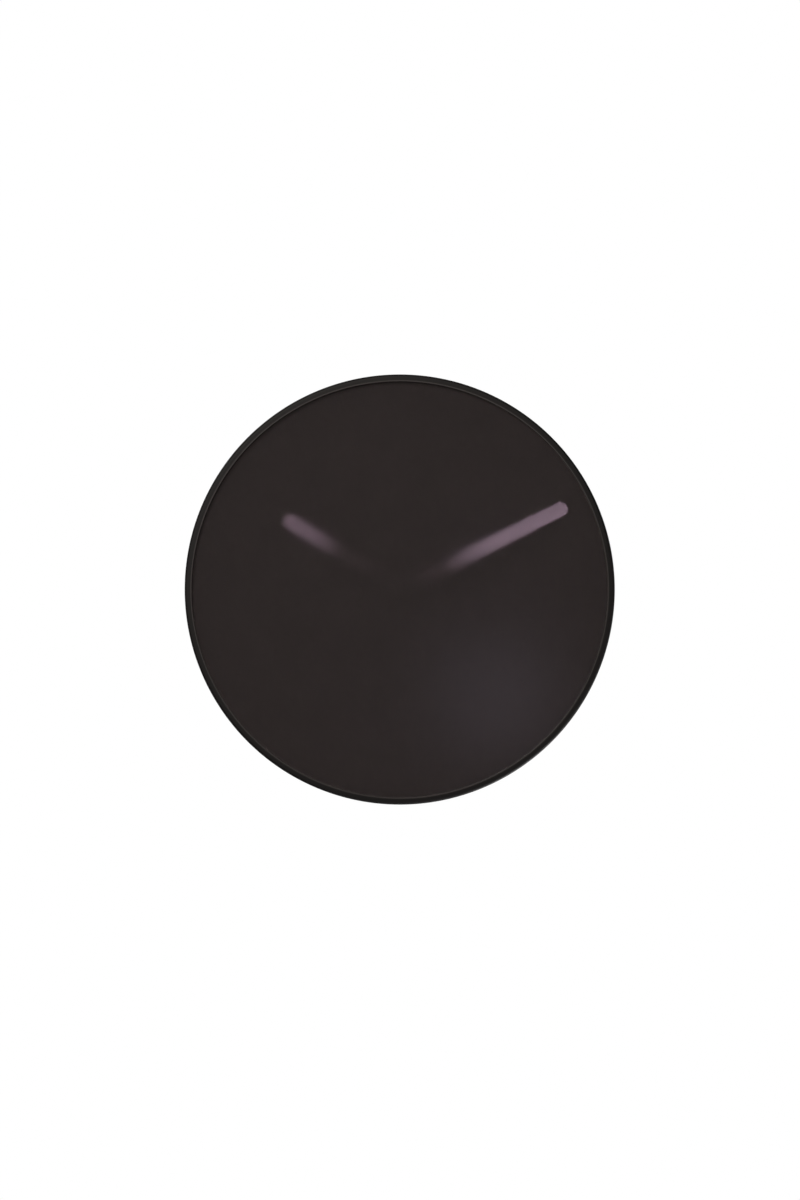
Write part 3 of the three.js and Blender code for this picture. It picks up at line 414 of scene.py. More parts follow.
def stoved_enamel(name, color, deep_color, roughness):
    """Enamel whose tint and sheen drift together, with an orange peel over the whole skin."""
    material, tree, shader, place = new_material(name, color, roughness)
    cloud = add_node(tree, "TexNoise", "Fac", sized(place, SHEEN_DRIFT))
    peel = add_node(tree, "TexNoise", "Fac", sized(place, ORANGE_PEEL, Detail=1.0))
    fill(shader, {"Specular IOR Level": 0.7})
    drift = (cloud, roughness - 0.04, roughness + 0.04)
    hang(shader, tint=(cloud, deep_color, color), sheen=drift, relief=(peel, 0.01, 0.4))
    return material


enamel = stoved_enamel("stoved_black_enamel", ENAMEL_BLACK, ENAMEL_DEEP, 0.6)
# The lip's inner edge: a smoother enamel whose lighter colour is a painted highlight.
painted_highlight_enamel = stoved_enamel("black_enamel_painted_highlight", PAINTED_HIGHLIGHT_GREY, PAINTED_HIGHLIGHT_DEEP, 0.4)

# %% [markdown]
# ## Smoked lens
# The lens is smoked glass in two finishes. Its front has a fine satin, which lets a lamp show as a soft patch. Its
# back is etched deeply and mirrors nothing, and that is the face that scatters: rough refraction there bends each
# ray a little, so the blur grows with the distance from the lens to what is behind it. Part of the front's shader
# is left as plain diffuse colour, for the haze that frosted glass throws back.

# %% Glass
FRONT_SMOKE = srgb("#e6d5d8")
BACK_SMOKE = srgb("#f0eeef")
GLASS_IOR = 1.52
GLASS_DRIFT = 50


def frosted_glass(name, smoke, roughness, clear_share, mirror_level):
    """Smoked glass whose roughness drifts by a twentieth either way. What isn't clear is a haze of the smoke's
    colour. The mirror level is 0.5 for a face that reflects as glass does, and 0 for one that the etch dulled."""
    material, tree, shader, place = new_material(name, smoke, roughness)
    cloud = add_node(tree, "TexNoise", "Fac", sized(place, GLASS_DRIFT))
    fill(shader, {"Transmission Weight": clear_share, "IOR": GLASS_IOR, "Specular IOR Level": mirror_level})
    hang(shader, sheen=(cloud, 0.95 * roughness, 1.05 * roughness))
    return material


glass_front = frosted_glass("smoked_glass_satin", FRONT_SMOKE, 0.115, clear_share=0.92, mirror_level=0.4)
glass_back = frosted_glass("smoked_glass_etched", BACK_SMOKE, 0.97, clear_share=1.0, mirror_level=0.0)

# %% [markdown]
# ## Dead matte paint
# The dish behind the hands is drawn steel under a dead matte black, sprayed on thickly so that it swallows light.
# Its grain is about a third of a millimetre, drawn at 0.6 mm so that it shows at all from behind the clock.

# %% Paint
PAINT_BLACK = srgb("#0f0d0e")
PAINT_DUSTY = srgb("#1b1819")
PAINT_GRAIN = 0.6

paint, tree, shader, place = new_material("dead_matte_paint", PAINT_BLACK, 0.9)
speckle = add_node(tree, "TexNoise", "Fac", sized(place, PAINT_GRAIN, Detail=3.0))
fill(shader, {"Specular IOR Level": 0.3})
hang(shader, tint=(speckle, PAINT_BLACK, PAINT_DUSTY), relief=(speckle, 0.03, 0.5))

# %% [markdown]
# ## Bezel
# The bezel is one pressed profile: a skirt that slips over the case, a generous outer edge and a flat lip that
# holds the lens. Turned on a lathe grid, its corners become arcs that catch thin lines of light. The lip falls by
# a third of a millimetre towards the rim, as a pressed one does, and so it isn't lit evenly all the way round.
# Only its innermost millimetre is flat, and that band carries a painted highlight. Four screws go through the
# skirt into the case. A drill is a rod that starts and ends a millimetre outside of what it drills, because a cut
# is unsure where faces coincide.

# %% Bezel
RIM_SEGMENTS = 256
LIP_WIDTH = 5.1
LIP_FALL = 0.3
# Width of the lip's flat inner band, which carries the painted highlight.
HIGHLIGHT_BAND_WIDTH = 1.0
SKIRT_SHEET = 1.1
LENS_PLAY = 0.1
SCREW_ANGLES = (45, 135, 225, 315)
SCREW_DEPTH = 40.5
SCREW_HEAD_RADIUS = 2.8
OVERSHOOT = 1
TIGHT_GAP = 0.1
LOOSE_GAP = 0.2

bezel_back, bezel_front = depths("bezel")
case_back, case_front = depths("case_ring")
lens_back, lens_front = depths("lens")
case_radius = radius_of("case_ring")
lip_back = lens_front + LENS_PLAY
lip_inner = CLOCK_RADIUS - LIP_WIDTH
skirt_inner = CLOCK_RADIUS - SKIRT_SHEET
bezel_corners = [
    (lip_inner, lip_back, CUT_EDGE),
    (lip_inner, bezel_front, PRESSED_EDGE),
    (lip_inner + HIGHLIGHT_BAND_WIDTH, bezel_front),
    (CLOCK_RADIUS, bezel_front - LIP_FALL, RIM_ROUND),
    (CLOCK_RADIUS, bezel_back, PRESSED_EDGE),
    (skirt_inner, bezel_back, BROKEN_EDGE),
    (skirt_inner, lip_back),
]


def on_rim(angle, radius, depth=SCREW_DEPTH):
    """A point at an angle round the clock, in degrees from +X, as (x, depth, z)."""
    x, z = turned(radius, 0, math.radians(angle))
    return CLOCK_AXIS[0] + x, depth, CLOCK_AXIS[1] + z


def rim_holes(inner, outer, radius):
    """A rod through the rim at each screw."""
    return [rod(on_rim(angle, inner), on_rim(angle, outer), radius) for angle in SCREW_ANGLES]


head_holes = rim_holes(case_radius - OVERSHOOT, CLOCK_RADIUS + OVERSHOOT, SCREW_HEAD_RADIUS + TIGHT_GAP)
bezel = add_turned("bezel_rim", enamel, "bezel", bezel_corners, RIM_SEGMENTS, cutters=head_holes)

# %% [markdown]
# One mesh can carry two finishes: a second material is added to it, and each face keeps the number of its own.
# The faces with the painted highlight are those whose middles lie close to the lip's inner edge.

# %% Painted highlight on the lip's edge
def face_rows(piece, value):
    """The centre or the normal of every face of a piece, one row of (x, y, z) each."""
    rows = np.empty(3 * len(piece.data.polygons))
    piece.data.polygons.foreach_get(value, rows)
    return rows.reshape(-1, 3)


def second_finish(piece, material, chosen):
    """Gives the chosen faces of a piece a second material."""
    piece.data.materials.append(material)
    piece.data.polygons.foreach_set("material_index", chosen.astype(np.int32))
    print(f"{piece.name}: {chosen.sum()} faces of {material.name}")


from_axis = np.hypot(*(face_rows(bezel, "center")[:, [0, 2]] / MM - CLOCK_AXIS).T)
second_finish(bezel, painted_highlight_enamel, from_axis < lip_inner + HIGHLIGHT_BAND_WIDTH)

# %% [markdown]
# ## Lens
# The lens is a plain disc with a small bevel in front. Its two faces take different materials, which are told
# apart by the direction in which each face looks. Its own shadow is left out of the light's way, because Cycles
# would treat frosted glass as a lid, and the hands would sit in the dark.

# %% Lens
LENS_BEVEL = 0.5
FACES_WALL = 0.9

lens_corners = [
    (0, lens_back),
    (radius_of("lens"), lens_back, BROKEN_EDGE),
    (radius_of("lens"), lens_front, LENS_BEVEL),
    (0, lens_front),
]
lens = add_turned("smoked_lens", glass_front, "lens", lens_corners, RIM_SEGMENTS)
second_finish(lens, glass_back, face_rows(lens, "normal")[:, 1] > FACES_WALL)
lens.visible_shadow = False

# %% [markdown]
# ## Dish
# Behind the hands lies a drawn dish: a flat floor that carries the movement, and a wall that rises to the rim ever
# more steeply. The wall's height is a power of the share of the way out, so the profile is two numpy lines.

# %% Dish
DISH_SHEET = 0.8
DISH_FLOOR_RADIUS = 45
DISH_WALL_RADIUS = 141
DISH_BORE = 4.2
DISH_CURVE = 1.6


def dish_profile(steps=64):
    """The dish's sheet: a flat floor, then a wall whose rise goes with the share of the way out to the power
    1.6, then a flat rim. The front face is the same line, one sheet thickness further forward."""
    back, front = depths("dial_dish")
    outer = radius_of("dial_dish")
    share = np.linspace(0, 1, steps)
    radius = DISH_FLOOR_RADIUS + (DISH_WALL_RADIUS - DISH_FLOOR_RADIUS) * share
    rise = (front - DISH_SHEET - back) * share ** DISH_CURVE
    rear_face = grid(radius, back + rise)
    front_face = rear_face[::-1] + [-DISH_SHEET / 2, DISH_SHEET]
    rim = rounded([
        tuple(rear_face[-1]),
        (outer, front - DISH_SHEET, BROKEN_EDGE),
        (outer, front, BROKEN_EDGE),
        tuple(front_face[0]),
    ])[1:-1]
    hole = [(DISH_BORE, back + DISH_SHEET), (DISH_BORE, back)]
    return np.vstack([rear_face, rim, front_face, hole])


add_turned("dial_dish_drawn", paint, "dial_dish", dish_profile(), RIM_SEGMENTS)

# %% [markdown]
# ## Hand lacquer
# The hands are pressed aluminium with a mauve-grey lacquer. Its colour is full at the tip, dark at the root and
# black at the eye, darker the deeper the hand lies below the lens, and the hour hand's is a little darker
# throughout. The fade follows the depth of the hand below the lens, so it stays with the hand as it turns. Fine
# metal flakes give the lacquer a slight sparkle, drawn at 0.5 mm where real ones are a tenth of that.

# %% Lacquer
EYE_BLACK = srgb("#141113")
MINUTE_TINTS = (srgb("#c0b3cd"), srgb("#372f37"), EYE_BLACK)
MINUTE_FADES = ((5.3, 11.0), (11.6, 14.0))
HOUR_TINTS = (srgb("#a092a8"), srgb("#2b262b"), EYE_BLACK)
HOUR_FADES = ((7.0, 10.6), (12.5, 15.5))
FLAKE = 0.5


def fading_lacquer(name, tints, fades):
    """Lacquer that runs smoothly from each tint to the next, between two depths below the lens in mm."""
    material, tree, shader, place = new_material(name, tints[0], 0.6)
    depth = add_node(tree, "SeparateXYZ", "Y", {"Vector": place})
    tint = tints[0]
    for next_tint, fade in zip(tints[1:], fades):
        start, end = ((below - lens_back) * MM for below in fade)
        limits = {"Value": depth, "From Min": start, "From Max": end}
        share = add_node(tree, "MapRange", "Result", limits, interpolation_type="SMOOTHSTEP")
        mixed = {"Factor": share, "A": tint, "B": next_tint}
        tint = add_node(tree, "Mix", "Result", mixed, data_type="RGBA")
    flakes = add_node(tree, "TexNoise", "Fac", sized(place, FLAKE, Detail=1.0))
    fill(shader, {"Specular IOR Level": 0.2, "Base Color": tint})
    hang(shader, sheen=(flakes, 0.5, 0.7))
    return material


minute_lacquer = fading_lacquer("mauve_lacquer_minute", MINUTE_TINTS, MINUTE_FADES)
hour_lacquer = fading_lacquer("mauve_lacquer_hour", HOUR_TINTS, HOUR_FADES)

# %% [markdown]
# ## Cut sheet
# Hands and plates are cut from sheet. The surface is spanned by rays that start at the hole, or in the middle
# where there is none, and end on the outline, so one grid covers any outline that can be seen from its middle.
# Two quarter arcs round the edge, which is where a cut sheet catches the light.

# %% Sheets with rounded edges
SHEET_SHOULDER = 0.15
QUARTER_POINTS = 4


def sheet(outline, thickness, edge, hole_radius=0.0, steps=2):
    """A flat sheet as plan points and their lift above its rear. Along a ray the point is (1 - t) times the hole's
    point plus t times the outline's. Round the edge it is the outline less the edge radius times 1 - sin along
    the outline's normal, and the lift is the edge radius times 1 - cos. A ring just inside keeps the flat flat."""
    ahead = np.roll(outline, -1, axis=0) - np.roll(outline, 1, axis=0)
    normal = grid(ahead[:, 1], -ahead[:, 0]) / np.linalg.norm(ahead, axis=1, keepdims=True)
    inner = outline - edge * normal
    shoulder = inner - SHEET_SHOULDER * normal
    hole = hole_radius * inner / np.linalg.norm(inner, axis=1, keepdims=True)
    t = np.linspace(0, 1, steps)[None, :, None]
    flat = np.concatenate([(1 - t) * hole[:, None] + t * shoulder[:, None], inner[:, None]], axis=1)
    quarter = np.linspace(0, math.pi / 2, QUARTER_POINTS)[1:]
    drawn_in = edge * (1 - np.sin(quarter))
    rise = edge * (1 - np.cos(quarter))
    both = np.concatenate([drawn_in, drawn_in[::-1]])[None, :, None]
    plan = np.concatenate([flat, outline[:, None] - both * normal[:, None], flat[:, ::-1]], axis=1)
    level = np.zeros(steps + 1)
    return plan, np.concatenate([level, rise, thickness - rise[::-1], level + thickness])


# %% [markdown]
# ## Hands
# Each hand is a flat bar with a round end and a round eye, cut from 0.8 mm sheet and bent forward. The bend is
# added to the flat sheet as a depth that depends only on how far along the hand a point is: steep near the eye,
# and ever flatter towards the tip.

# %% Shape of a hand
HAND_SHEET = 0.8
HAND_WIDTH = 9.9
HAND_CURVE = 1.5
HAND_STEPS = 48
EYE_RADIUS = 7
MINUTE_LENGTH = 130.3
TIP_BELOW_LENS = 1.7
TIP_POINTS = 33
EYE_POINTS = 61

minute_back = depths("minute_hand")[0]
hand_rise = lens_back - TIP_BELOW_LENS - minute_back - HAND_SHEET


def forward(along):
    """How far a hand has come forward at a distance along it: with the share s of the way from the eye to the
    minute hand's tip, it is the whole rise times 1 - (1 - s) to the power 1.5."""
    share = np.clip((along - EYE_RADIUS) / (MINUTE_LENGTH - EYE_RADIUS), 0, 1)
    return hand_rise * (1 - (1 - share) ** HAND_CURVE)


def hand_outline(length, spacing=1.5):
    """Points round a hand in its own plane, along +X: half a circle at the tip, the long edge back to the eye,
    the eye's circle, and the other long edge."""
    half = HAND_WIDTH / 2
    neck = math.asin(half / EYE_RADIUS)
    tip = np.linspace(-math.pi / 2, math.pi / 2, TIP_POINTS)
    eye = np.linspace(neck, FULL_TURN - neck, EYE_POINTS)
    edge = np.linspace(length - half, EYE_RADIUS * math.cos(neck), round(length / spacing))[1:-1]
    return np.vstack([
        grid(length - half + half * np.cos(tip), half * np.sin(tip)),
        grid(edge, half),
        grid(EYE_RADIUS * np.cos(eye), EYE_RADIUS * np.sin(eye)),
        grid(edge[::-1], -half),
    ])


def hand(length, back, hole_radius, angle):
    """A hand's sheet, bent forward and turned about the clock's axis by an angle from +X."""
    plan, lift = sheet(hand_outline(length), HAND_SHEET, CUT_EDGE, hole_radius, HAND_STEPS)
    x, z = turned(plan[..., 0], plan[..., 1], math.radians(angle))
    depth = back + lift + forward(plan[..., 0])
    return as_surface(grid(CLOCK_AXIS[0] + x, depth, CLOCK_AXIS[1] + z), wrap=True)


print(f"the hands come forward by up to {hand_rise:.1f} mm")

# %% Hands
MINUTE_ANGLE = 26.5
MINUTE_HOLE = 1.7
HOUR_LENGTH = 94.3
HOUR_ANGLE = 148.2
HOUR_HOLE = 2.6

minute_hand = hand(MINUTE_LENGTH, minute_back, MINUTE_HOLE, MINUTE_ANGLE)
hour_hand = hand(HOUR_LENGTH, depths("hour_hand")[0], HOUR_HOLE, HOUR_ANGLE)
add_piece("minute_hand_bent", minute_lacquer, "minute_hand", closed_mesh(minute_hand))
add_piece("hour_hand_bent", hour_lacquer, "hour_hand", closed_mesh(hour_hand))

# %% [markdown]
# ## Case ring
# The case is spun from 1 mm sheet: a flange in front for the lens, a straight wall, a generous corner behind and a
# flange that turns in at the wall. It is turned here in the same way, and the holes for screws and rivets are
# drilled through it.

# %% Case ring
CASE_SHEET = 1.0
CASE_CORNER = 6
CASE_FRONT_CORNER = 0.8
CASE_EDGE = 0.25
CASE_BACK_FLANGE = 18.7
CASE_FRONT_FLANGE = 6.7
SCREW_SHANK_RADIUS = 1.4
RIVET_SHANK_RADIUS = 2.0
RIVETS = ("hanger_rivet_left", "hanger_rivet_right")

inner_wall = case_radius - CASE_SHEET
rear_opening = case_radius - CASE_BACK_FLANGE
front_opening = case_radius - CASE_FRONT_FLANGE
case_corners = [
    (rear_opening, case_back, CASE_EDGE),
    (case_radius, case_back, CASE_CORNER),
    (case_radius, case_front, CASE_FRONT_CORNER),
    (front_opening, case_front, CASE_EDGE),
    (front_opening, case_front - CASE_SHEET, CASE_EDGE),
    (inner_wall, case_front - CASE_SHEET, PRESSED_EDGE),
    (inner_wall, case_back + CASE_SHEET, CASE_CORNER - CASE_SHEET),
    (rear_opening, case_back + CASE_SHEET, CASE_EDGE),
]
hanger_back, hanger_front = depths("hanger_plate")


def drilled(x, z, back, front, radius, segments=48):
    """A drill through a sheet that lies between two depths."""
    return rod((x, back - OVERSHOOT, z), (x, front + OVERSHOOT, z), radius, segments)


rivet_hole = RIVET_SHANK_RADIUS + TIGHT_GAP
rivet_holes = [drilled(*axis_of(rivet), case_back, hanger_front, rivet_hole) for rivet in RIVETS]
shank_holes = rim_holes(inner_wall - OVERSHOOT, case_radius + OVERSHOOT, SCREW_SHANK_RADIUS + LOOSE_GAP)
case_holes = rivet_holes + shank_holes
add_turned("case_ring_spun", enamel, "case_ring", case_corners, RIM_SEGMENTS, cutters=case_holes)

# %% [markdown]
# ## Moulded rubber
# A flat gasket between dish and lens keeps the glass from rattling, a washer sits behind the dish, and four pads
# stand on the wall. They are black rubber: a dull skin, with the faint cloud of talc that keeps it from sticking
# in its mould. The skin is finer than it is drawn here, at 0.5 mm.

# %% Rubber
RUBBER_BLACK = srgb("#1a1a1b")
RUBBER_TALC = srgb("#2b2a2a")
TALC_CLOUD = 8
RUBBER_SKIN = 0.5

rubber, tree, shader, place = new_material("moulded_rubber", RUBBER_BLACK, 0.8)
talc = add_node(tree, "TexNoise", "Fac", sized(place, TALC_CLOUD, Detail=4.0))
skin = add_node(tree, "TexNoise", "Fac", sized(place, RUBBER_SKIN))
hang(shader, tint=(talc, RUBBER_BLACK, RUBBER_TALC), sheen=(talc, 0.7, 0.9), relief=(skin, 0.02, 0.6))

# %% Rubber pieces
PAD_ROUND = 0.7
BUSHING_RADIUS = 4.0


def add_ring(name, material, node, inner, edge=CUT_EDGE, segments=96):
    """A flat ring or washer in place of a node: a rounded rectangle, turned about the clock's axis."""
    outer = radius_of(node)
    back, front = depths(node)
    corners = [(inner, back, edge), (outer, back, edge), (outer, front, edge), (inner, front, edge)]
    add_turned(name, material, node, corners, segments)


add_ring("lens_gasket_rubber", rubber, "lens_gasket", lip_inner + TIGHT_GAP, segments=RIM_SEGMENTS)
add_ring("rubber_washer_flat", rubber, "rubber_washer", BUSHING_RADIUS + LOOSE_GAP, BROKEN_EDGE)

for number in range(1, 5):
    node = f"wall_pad_{number}"
    back, front = depths(node)
    corners = [
        (0, back), (radius_of(node), back, PAD_ROUND), (radius_of(node), front, FINE_EDGE), (0, front),
    ]
    add_turned(f"wall_pad_rubber_{number}", rubber, node, corners, segments=64, start=foot_of(node))

# %% [markdown]
# ## Zinc plating
# Screws, rivets and the hanger plate are steel with bright zinc on it. Zinc is a bluish metal, slightly uneven
# where the bath left a thicker film, and the sheet under it keeps the fine lines of rolling, drawn at 0.5 mm.
# Noise that is stretched along X gives such lines.

# %% Zinc
ZINC_LIGHT = srgb("#b6babf")
ZINC_DARK = srgb("#989da5")
ZINC_FILM = 5
ROLLING_LINES = 0.5
ROLLING_STRETCH = (0.05, 1.0, 1.0)

zinc, tree, shader, place = new_material("bright_zinc_plating", ZINC_LIGHT, 0.4, 1.0)
film = add_node(tree, "TexNoise", "Fac", sized(place, ZINC_FILM, Detail=4.0))
drawn = add_node(tree, "Mapping", "Vector", {"Vector": place, "Scale": ROLLING_STRETCH})
lines = add_node(tree, "TexNoise", "Fac", sized(drawn, ROLLING_LINES, Detail=3.0))
hang(shader, tint=(film, ZINC_DARK, ZINC_LIGHT), sheen=(film, 0.33, 0.47), relief=(lines, 0.01, 0.5))

# %% [markdown]
# ## Hanger
# The plate behind the case's top carries the clock on a nail: the head goes in at the round hole and the shank
# slides up the slot. It is a cut sheet like the hands, and its keyhole is a rod and a small plate cut out of it.

# %% Hanger plate
HANGER_WIDTH = 50
HANGER_HEIGHT = 34
HANGER_CORNER = 3
HANGER_ROUND = 0.3
HANGER_BEVEL = 0.15
NAIL_HEIGHT = 0.0
KEYHOLE_DROP = 8
KEYHOLE_ENTRY_RADIUS = 5
KEYHOLE_SLOT_RADIUS = 2.5
KEYHOLE_SLOT_CORNER = 2.49
CUTTER_EDGE = 0.001
CORNER_POINTS = 9


def rounded_rectangle(width, height, corner):
    """Points round a rectangle whose four corners are quarter circles, each centred a corner radius inside."""
    turn = np.arange(4)[:, None] * math.pi / 2 + np.linspace(0, math.pi / 2, CORNER_POINTS)
    right, up = np.sign(np.cos(turn.mean(axis=1))), np.sign(np.sin(turn.mean(axis=1)))
    x = right[:, None] * (width / 2 - corner) + corner * np.cos(turn)
    z = up[:, None] * (height / 2 - corner) + corner * np.sin(turn)
    return grid(x, z).reshape(-1, 2)


def plate(outline, back, front, edge, middle=(0, 0)):
    """A flat plate between two depths, its outline placed round a middle given as (x, z)."""
    plan, lift = sheet(outline, front - back, edge)
    return as_surface(grid(middle[0] + plan[..., 0], back + lift, middle[1] + plan[..., 1]), wrap=False)


slot_length = KEYHOLE_DROP + 2 * KEYHOLE_SLOT_RADIUS
slot_outline = rounded_rectangle(2 * KEYHOLE_SLOT_RADIUS, slot_length, KEYHOLE_SLOT_CORNER)
slot_middle = (0, NAIL_HEIGHT + KEYHOLE_SLOT_RADIUS - slot_length / 2)
slot = plate(slot_outline, hanger_back - OVERSHOOT, hanger_front + OVERSHOOT, CUTTER_EDGE, slot_middle)
entry = drilled(0, NAIL_HEIGHT - KEYHOLE_DROP, hanger_back, hanger_front, KEYHOLE_ENTRY_RADIUS, segments=64)
outline = rounded_rectangle(HANGER_WIDTH, HANGER_HEIGHT, HANGER_CORNER)
blank = plate(outline, hanger_back, hanger_front, HANGER_ROUND, axis_of("hanger_plate"))
hanger_mesh = closed_mesh(blank, entry, slot, *rivet_holes)
add_piece("hanger_plate_zinc", zinc, "hanger_plate", hanger_mesh, HANGER_BEVEL)

# %% [markdown]
# Two rivets with low round heads hold the plate to the rear flange. They are turned pieces on axes of their own.

# %% Rivets
RIVET_HEAD_RADIUS = 3.4
RIVET_HEAD_HEIGHT = 1.0


def rivet_profile(rear_head, front_head, steps=10):
    """A shank between two heads. Each head is a quarter ellipse: its radius is the head's times cos a, and its
    height is the head's times sin a."""
    angle = np.linspace(0, math.pi / 2, steps)
    radius, height = RIVET_HEAD_RADIUS * np.cos(angle), RIVET_HEAD_HEIGHT * np.sin(angle)
    rear, front = grid(radius, rear_head - height)[::-1], grid(radius, front_head + height)
    return np.vstack([rear, [(RIVET_SHANK_RADIUS, rear_head), (RIVET_SHANK_RADIUS, front_head)], front])


for node in RIVETS:
    back, front = depths(node)
    profile = rivet_profile(back + RIVET_HEAD_HEIGHT, front - RIVET_HEAD_HEIGHT)
    add_turned(node + "_domed", zinc, node, profile, segments=48, start=foot_of(node))

# %% [markdown]
# ## Screws
# Every screw has a threaded shank and a pan head. The thread is one formula: the radius falls from the crest by a
# triangle wave of the distance along the shank, and the wave is shifted by the angle, so the crests climb in a
# helix. The head's slot or cross is cut out of it last.

# %% Threads
THREAD_DEPTH = 0.6
THREAD_RUN_IN = 0.3
THREAD_POINTS = 6
HEAD_ROUND = 0.45


def threaded(first, along, last, crest, pitch, segments):
    """A turned profile, a thread over the distances along, and another profile, as grids of radius and distance.
    At a distance d and an angle share a, the thread's radius is the crest's, less 0.6 of the pitch times the
    triangle wave |2 p - 1|, where p is the fraction of d / pitch - a."""
    first, last = np.array(first), np.array(last)
    share = np.arange(segments)[:, None] / segments
    wave = np.abs(2 * ((along / pitch - share) % 1) - 1)
    ends = [np.tile(profile[:, 0], (segments, 1)) for profile in (first, last)]
    radius = np.hstack([ends[0], crest - THREAD_DEPTH * pitch * wave, ends[1]])
    return radius, np.concatenate([first[:, 1], along, last[:, 1]])


def screw(start, axis, length, shank_radius, pitch, head_radius, head_height, segments=48):
    """A threaded shank from its blunt tip to under the head, then the head as a rounded profile."""
    root = shank_radius - THREAD_DEPTH * pitch
    head_back = length - head_height
    along = np.arange(THREAD_RUN_IN, head_back - pitch, pitch / THREAD_POINTS)
    head = rounded([
        (root, head_back),
        (head_radius, head_back, FINE_EDGE),
        (head_radius, length, HEAD_ROUND * head_height),
        (0, length),
    ])
    grids = threaded([(0, 0), (root, 0)], along, head, shank_radius, pitch, segments)
    return around(*grids, start=start, axis=axis, closed=False)


def bar(centre, *edges):
    """A box round a (x, depth, z) centre, from three edge vectors: the centre plus or minus half of each."""
    signs = np.array([(i, j, k) for i in (-0.5, 0.5) for j in (-0.5, 0.5) for k in (-0.5, 0.5)])
    faces = [(0, 1, 3, 2), (4, 6, 7, 5), (0, 4, 5, 1), (2, 3, 7, 6), (0, 2, 6, 4), (1, 5, 7, 3)]
    return in_metres(np.array(centre) + signs @ np.array(edges, float)), faces


# %% Bezel screws
BEZEL_SCREW_PITCH = 0.5
BEZEL_SCREW_TIP = 144
BEZEL_SCREW_HEAD = 0.9
BEZEL_SCREW_STANDS = 1.0
SLOT_WIDTH = 0.8
SLOT_DEPTH = 0.4

screw_length = case_radius + BEZEL_SCREW_STANDS - BEZEL_SCREW_TIP
for number in range(1, 5):
    node = f"bezel_screw_{number}"
    x, z = np.array(axis_of(node)) - CLOCK_AXIS
    angle = math.degrees(math.atan2(z, x))
    out, tangent = unit((x, 0, z)), unit((-z, 0, x))
    blank = screw(
        on_rim(angle, BEZEL_SCREW_TIP), out, screw_length, SCREW_SHANK_RADIUS, BEZEL_SCREW_PITCH,
        SCREW_HEAD_RADIUS, BEZEL_SCREW_HEAD,
    )
    slot = bar(
        on_rim(angle, BEZEL_SCREW_TIP + screw_length),
        2 * SLOT_DEPTH * out, (0, SLOT_WIDTH, 0), 3 * SCREW_HEAD_RADIUS * tangent,
    )
    add_piece(f"bezel_screw_slotted_{number}", zinc, node, closed_mesh(blank, slot))

# %% Cover screws
COVER_SCREW_PITCH = 0.4
COVER_SCREW_SHANK = 0.8
COVER_SCREW_HEAD = 0.5
CROSS_WIDTH = 0.4
CROSS_DEPTH = 0.3
CROSS_LENGTH = 1.9

for number in (1, 2):
    node = f"cover_screw_{number}"
    x, z = axis_of(node)
    head, tip = depths(node)
    blank = screw(
        (x, tip, z), (0, -1, 0), tip - head, COVER_SCREW_SHANK, COVER_SCREW_PITCH,
        radius_of(node), COVER_SCREW_HEAD, segments=32,
    )
    cross = [
        bar((x, head, z), (width, 0, 0), (0, 2 * CROSS_DEPTH, 0), (0, 0, height))
        for width, height in ((CROSS_LENGTH, CROSS_WIDTH), (CROSS_WIDTH, CROSS_LENGTH))
    ]
    add_piece(f"cover_screw_crossed_{number}", zinc, node, closed_mesh(blank, *cross))

# %% [markdown]
# ## Brass
# The pieces at the hub are turned brass that has been blackened, so that nothing glints behind the lens. Inside
# the movement the brass is left bare. A turning tool leaves fine rings round the axis, drawn here at 0.3 mm.

# %% Turned brass
BRASS_BARE = srgb("#c8a258")
BRASS_BLACKENED = srgb("#151313")
TOOL_MARKS = 0.3
TARNISH = 3
BANDS = 20 / FULL_TURN  # bands of a wave texture in the space of one feature of a noise texture


def turned_brass(name, color, roughness, metallic, mirror_level):
    """Metal with rings round the clock's axis, where the tool has left its marks."""
    material, tree, shader, place = new_material(name, color, roughness, metallic)
    to_axis = {"Vector": place, "Location": (-CLOCK_AXIS[0] * MM, 0, -CLOCK_AXIS[1] * MM)}
    rings = sized(add_node(tree, "Mapping", "Vector", to_axis), BANDS * TOOL_MARKS)
    marks = add_node(tree, "TexWave", "Fac", rings, wave_type="RINGS", rings_direction="Y")
    tarnish = add_node(tree, "TexNoise", "Fac", sized(place, TARNISH, Detail=3.0))
    fill(shader, {"Specular IOR Level": mirror_level})
    hang(shader, sheen=(tarnish, 0.85 * roughness, 1.15 * roughness), relief=(marks, 0.01, 0.5))
    return material


bare_brass = turned_brass("turned_brass", BRASS_BARE, 0.28, metallic=1.0, mirror_level=0.5)
blackened_brass = turned_brass("blackened_brass", BRASS_BLACKENED, 0.62, metallic=0.0, mirror_level=0.15)

# %% [markdown]
# ## Hub
# A threaded bushing pokes through the dish. A rubber washer behind, and a brass washer and a hex nut in front,
# clamp the dish to the movement. The hands press on with collets, and a small domed cap closes the end. The nut is
# one grid as well: round the axis its radius is the apothem over the cosine of the angle from the nearest flat.

# %% Bushing and nut
BUSHING_PITCH = 0.75
BUSHING_POINTS = 8
BUSHING_BORE = 2.7
BUSHING_FLANGE = 1.2
BUSHING_CHAMFER = 0.5
NUT_APOTHEM = 6
NUT_CROWN = 0.97
NUT_COUNTERSINK = 0.3
NUT_CHAMFER = math.radians(30)


def bushing_surface(segments=96):
    """The flange, then the thread, as the outside of a tube."""
    back, front = depths("threaded_bushing")
    outer, shoulder = radius_of("threaded_bushing"), back + BUSHING_FLANGE
    flange = rounded([
        (BUSHING_BORE, back),
        (outer, back, BROKEN_EDGE),
        (outer, shoulder, BROKEN_EDGE),
        (BUSHING_RADIUS - THREAD_RUN_IN, shoulder),
    ])
    along = np.arange(shoulder + THREAD_RUN_IN, front - THREAD_RUN_IN, BUSHING_PITCH / BUSHING_POINTS)
    end = [(BUSHING_RADIUS - BUSHING_CHAMFER, front), (BUSHING_BORE, front)]
    return around(*threaded(flange, along, end, BUSHING_RADIUS, BUSHING_PITCH, segments))


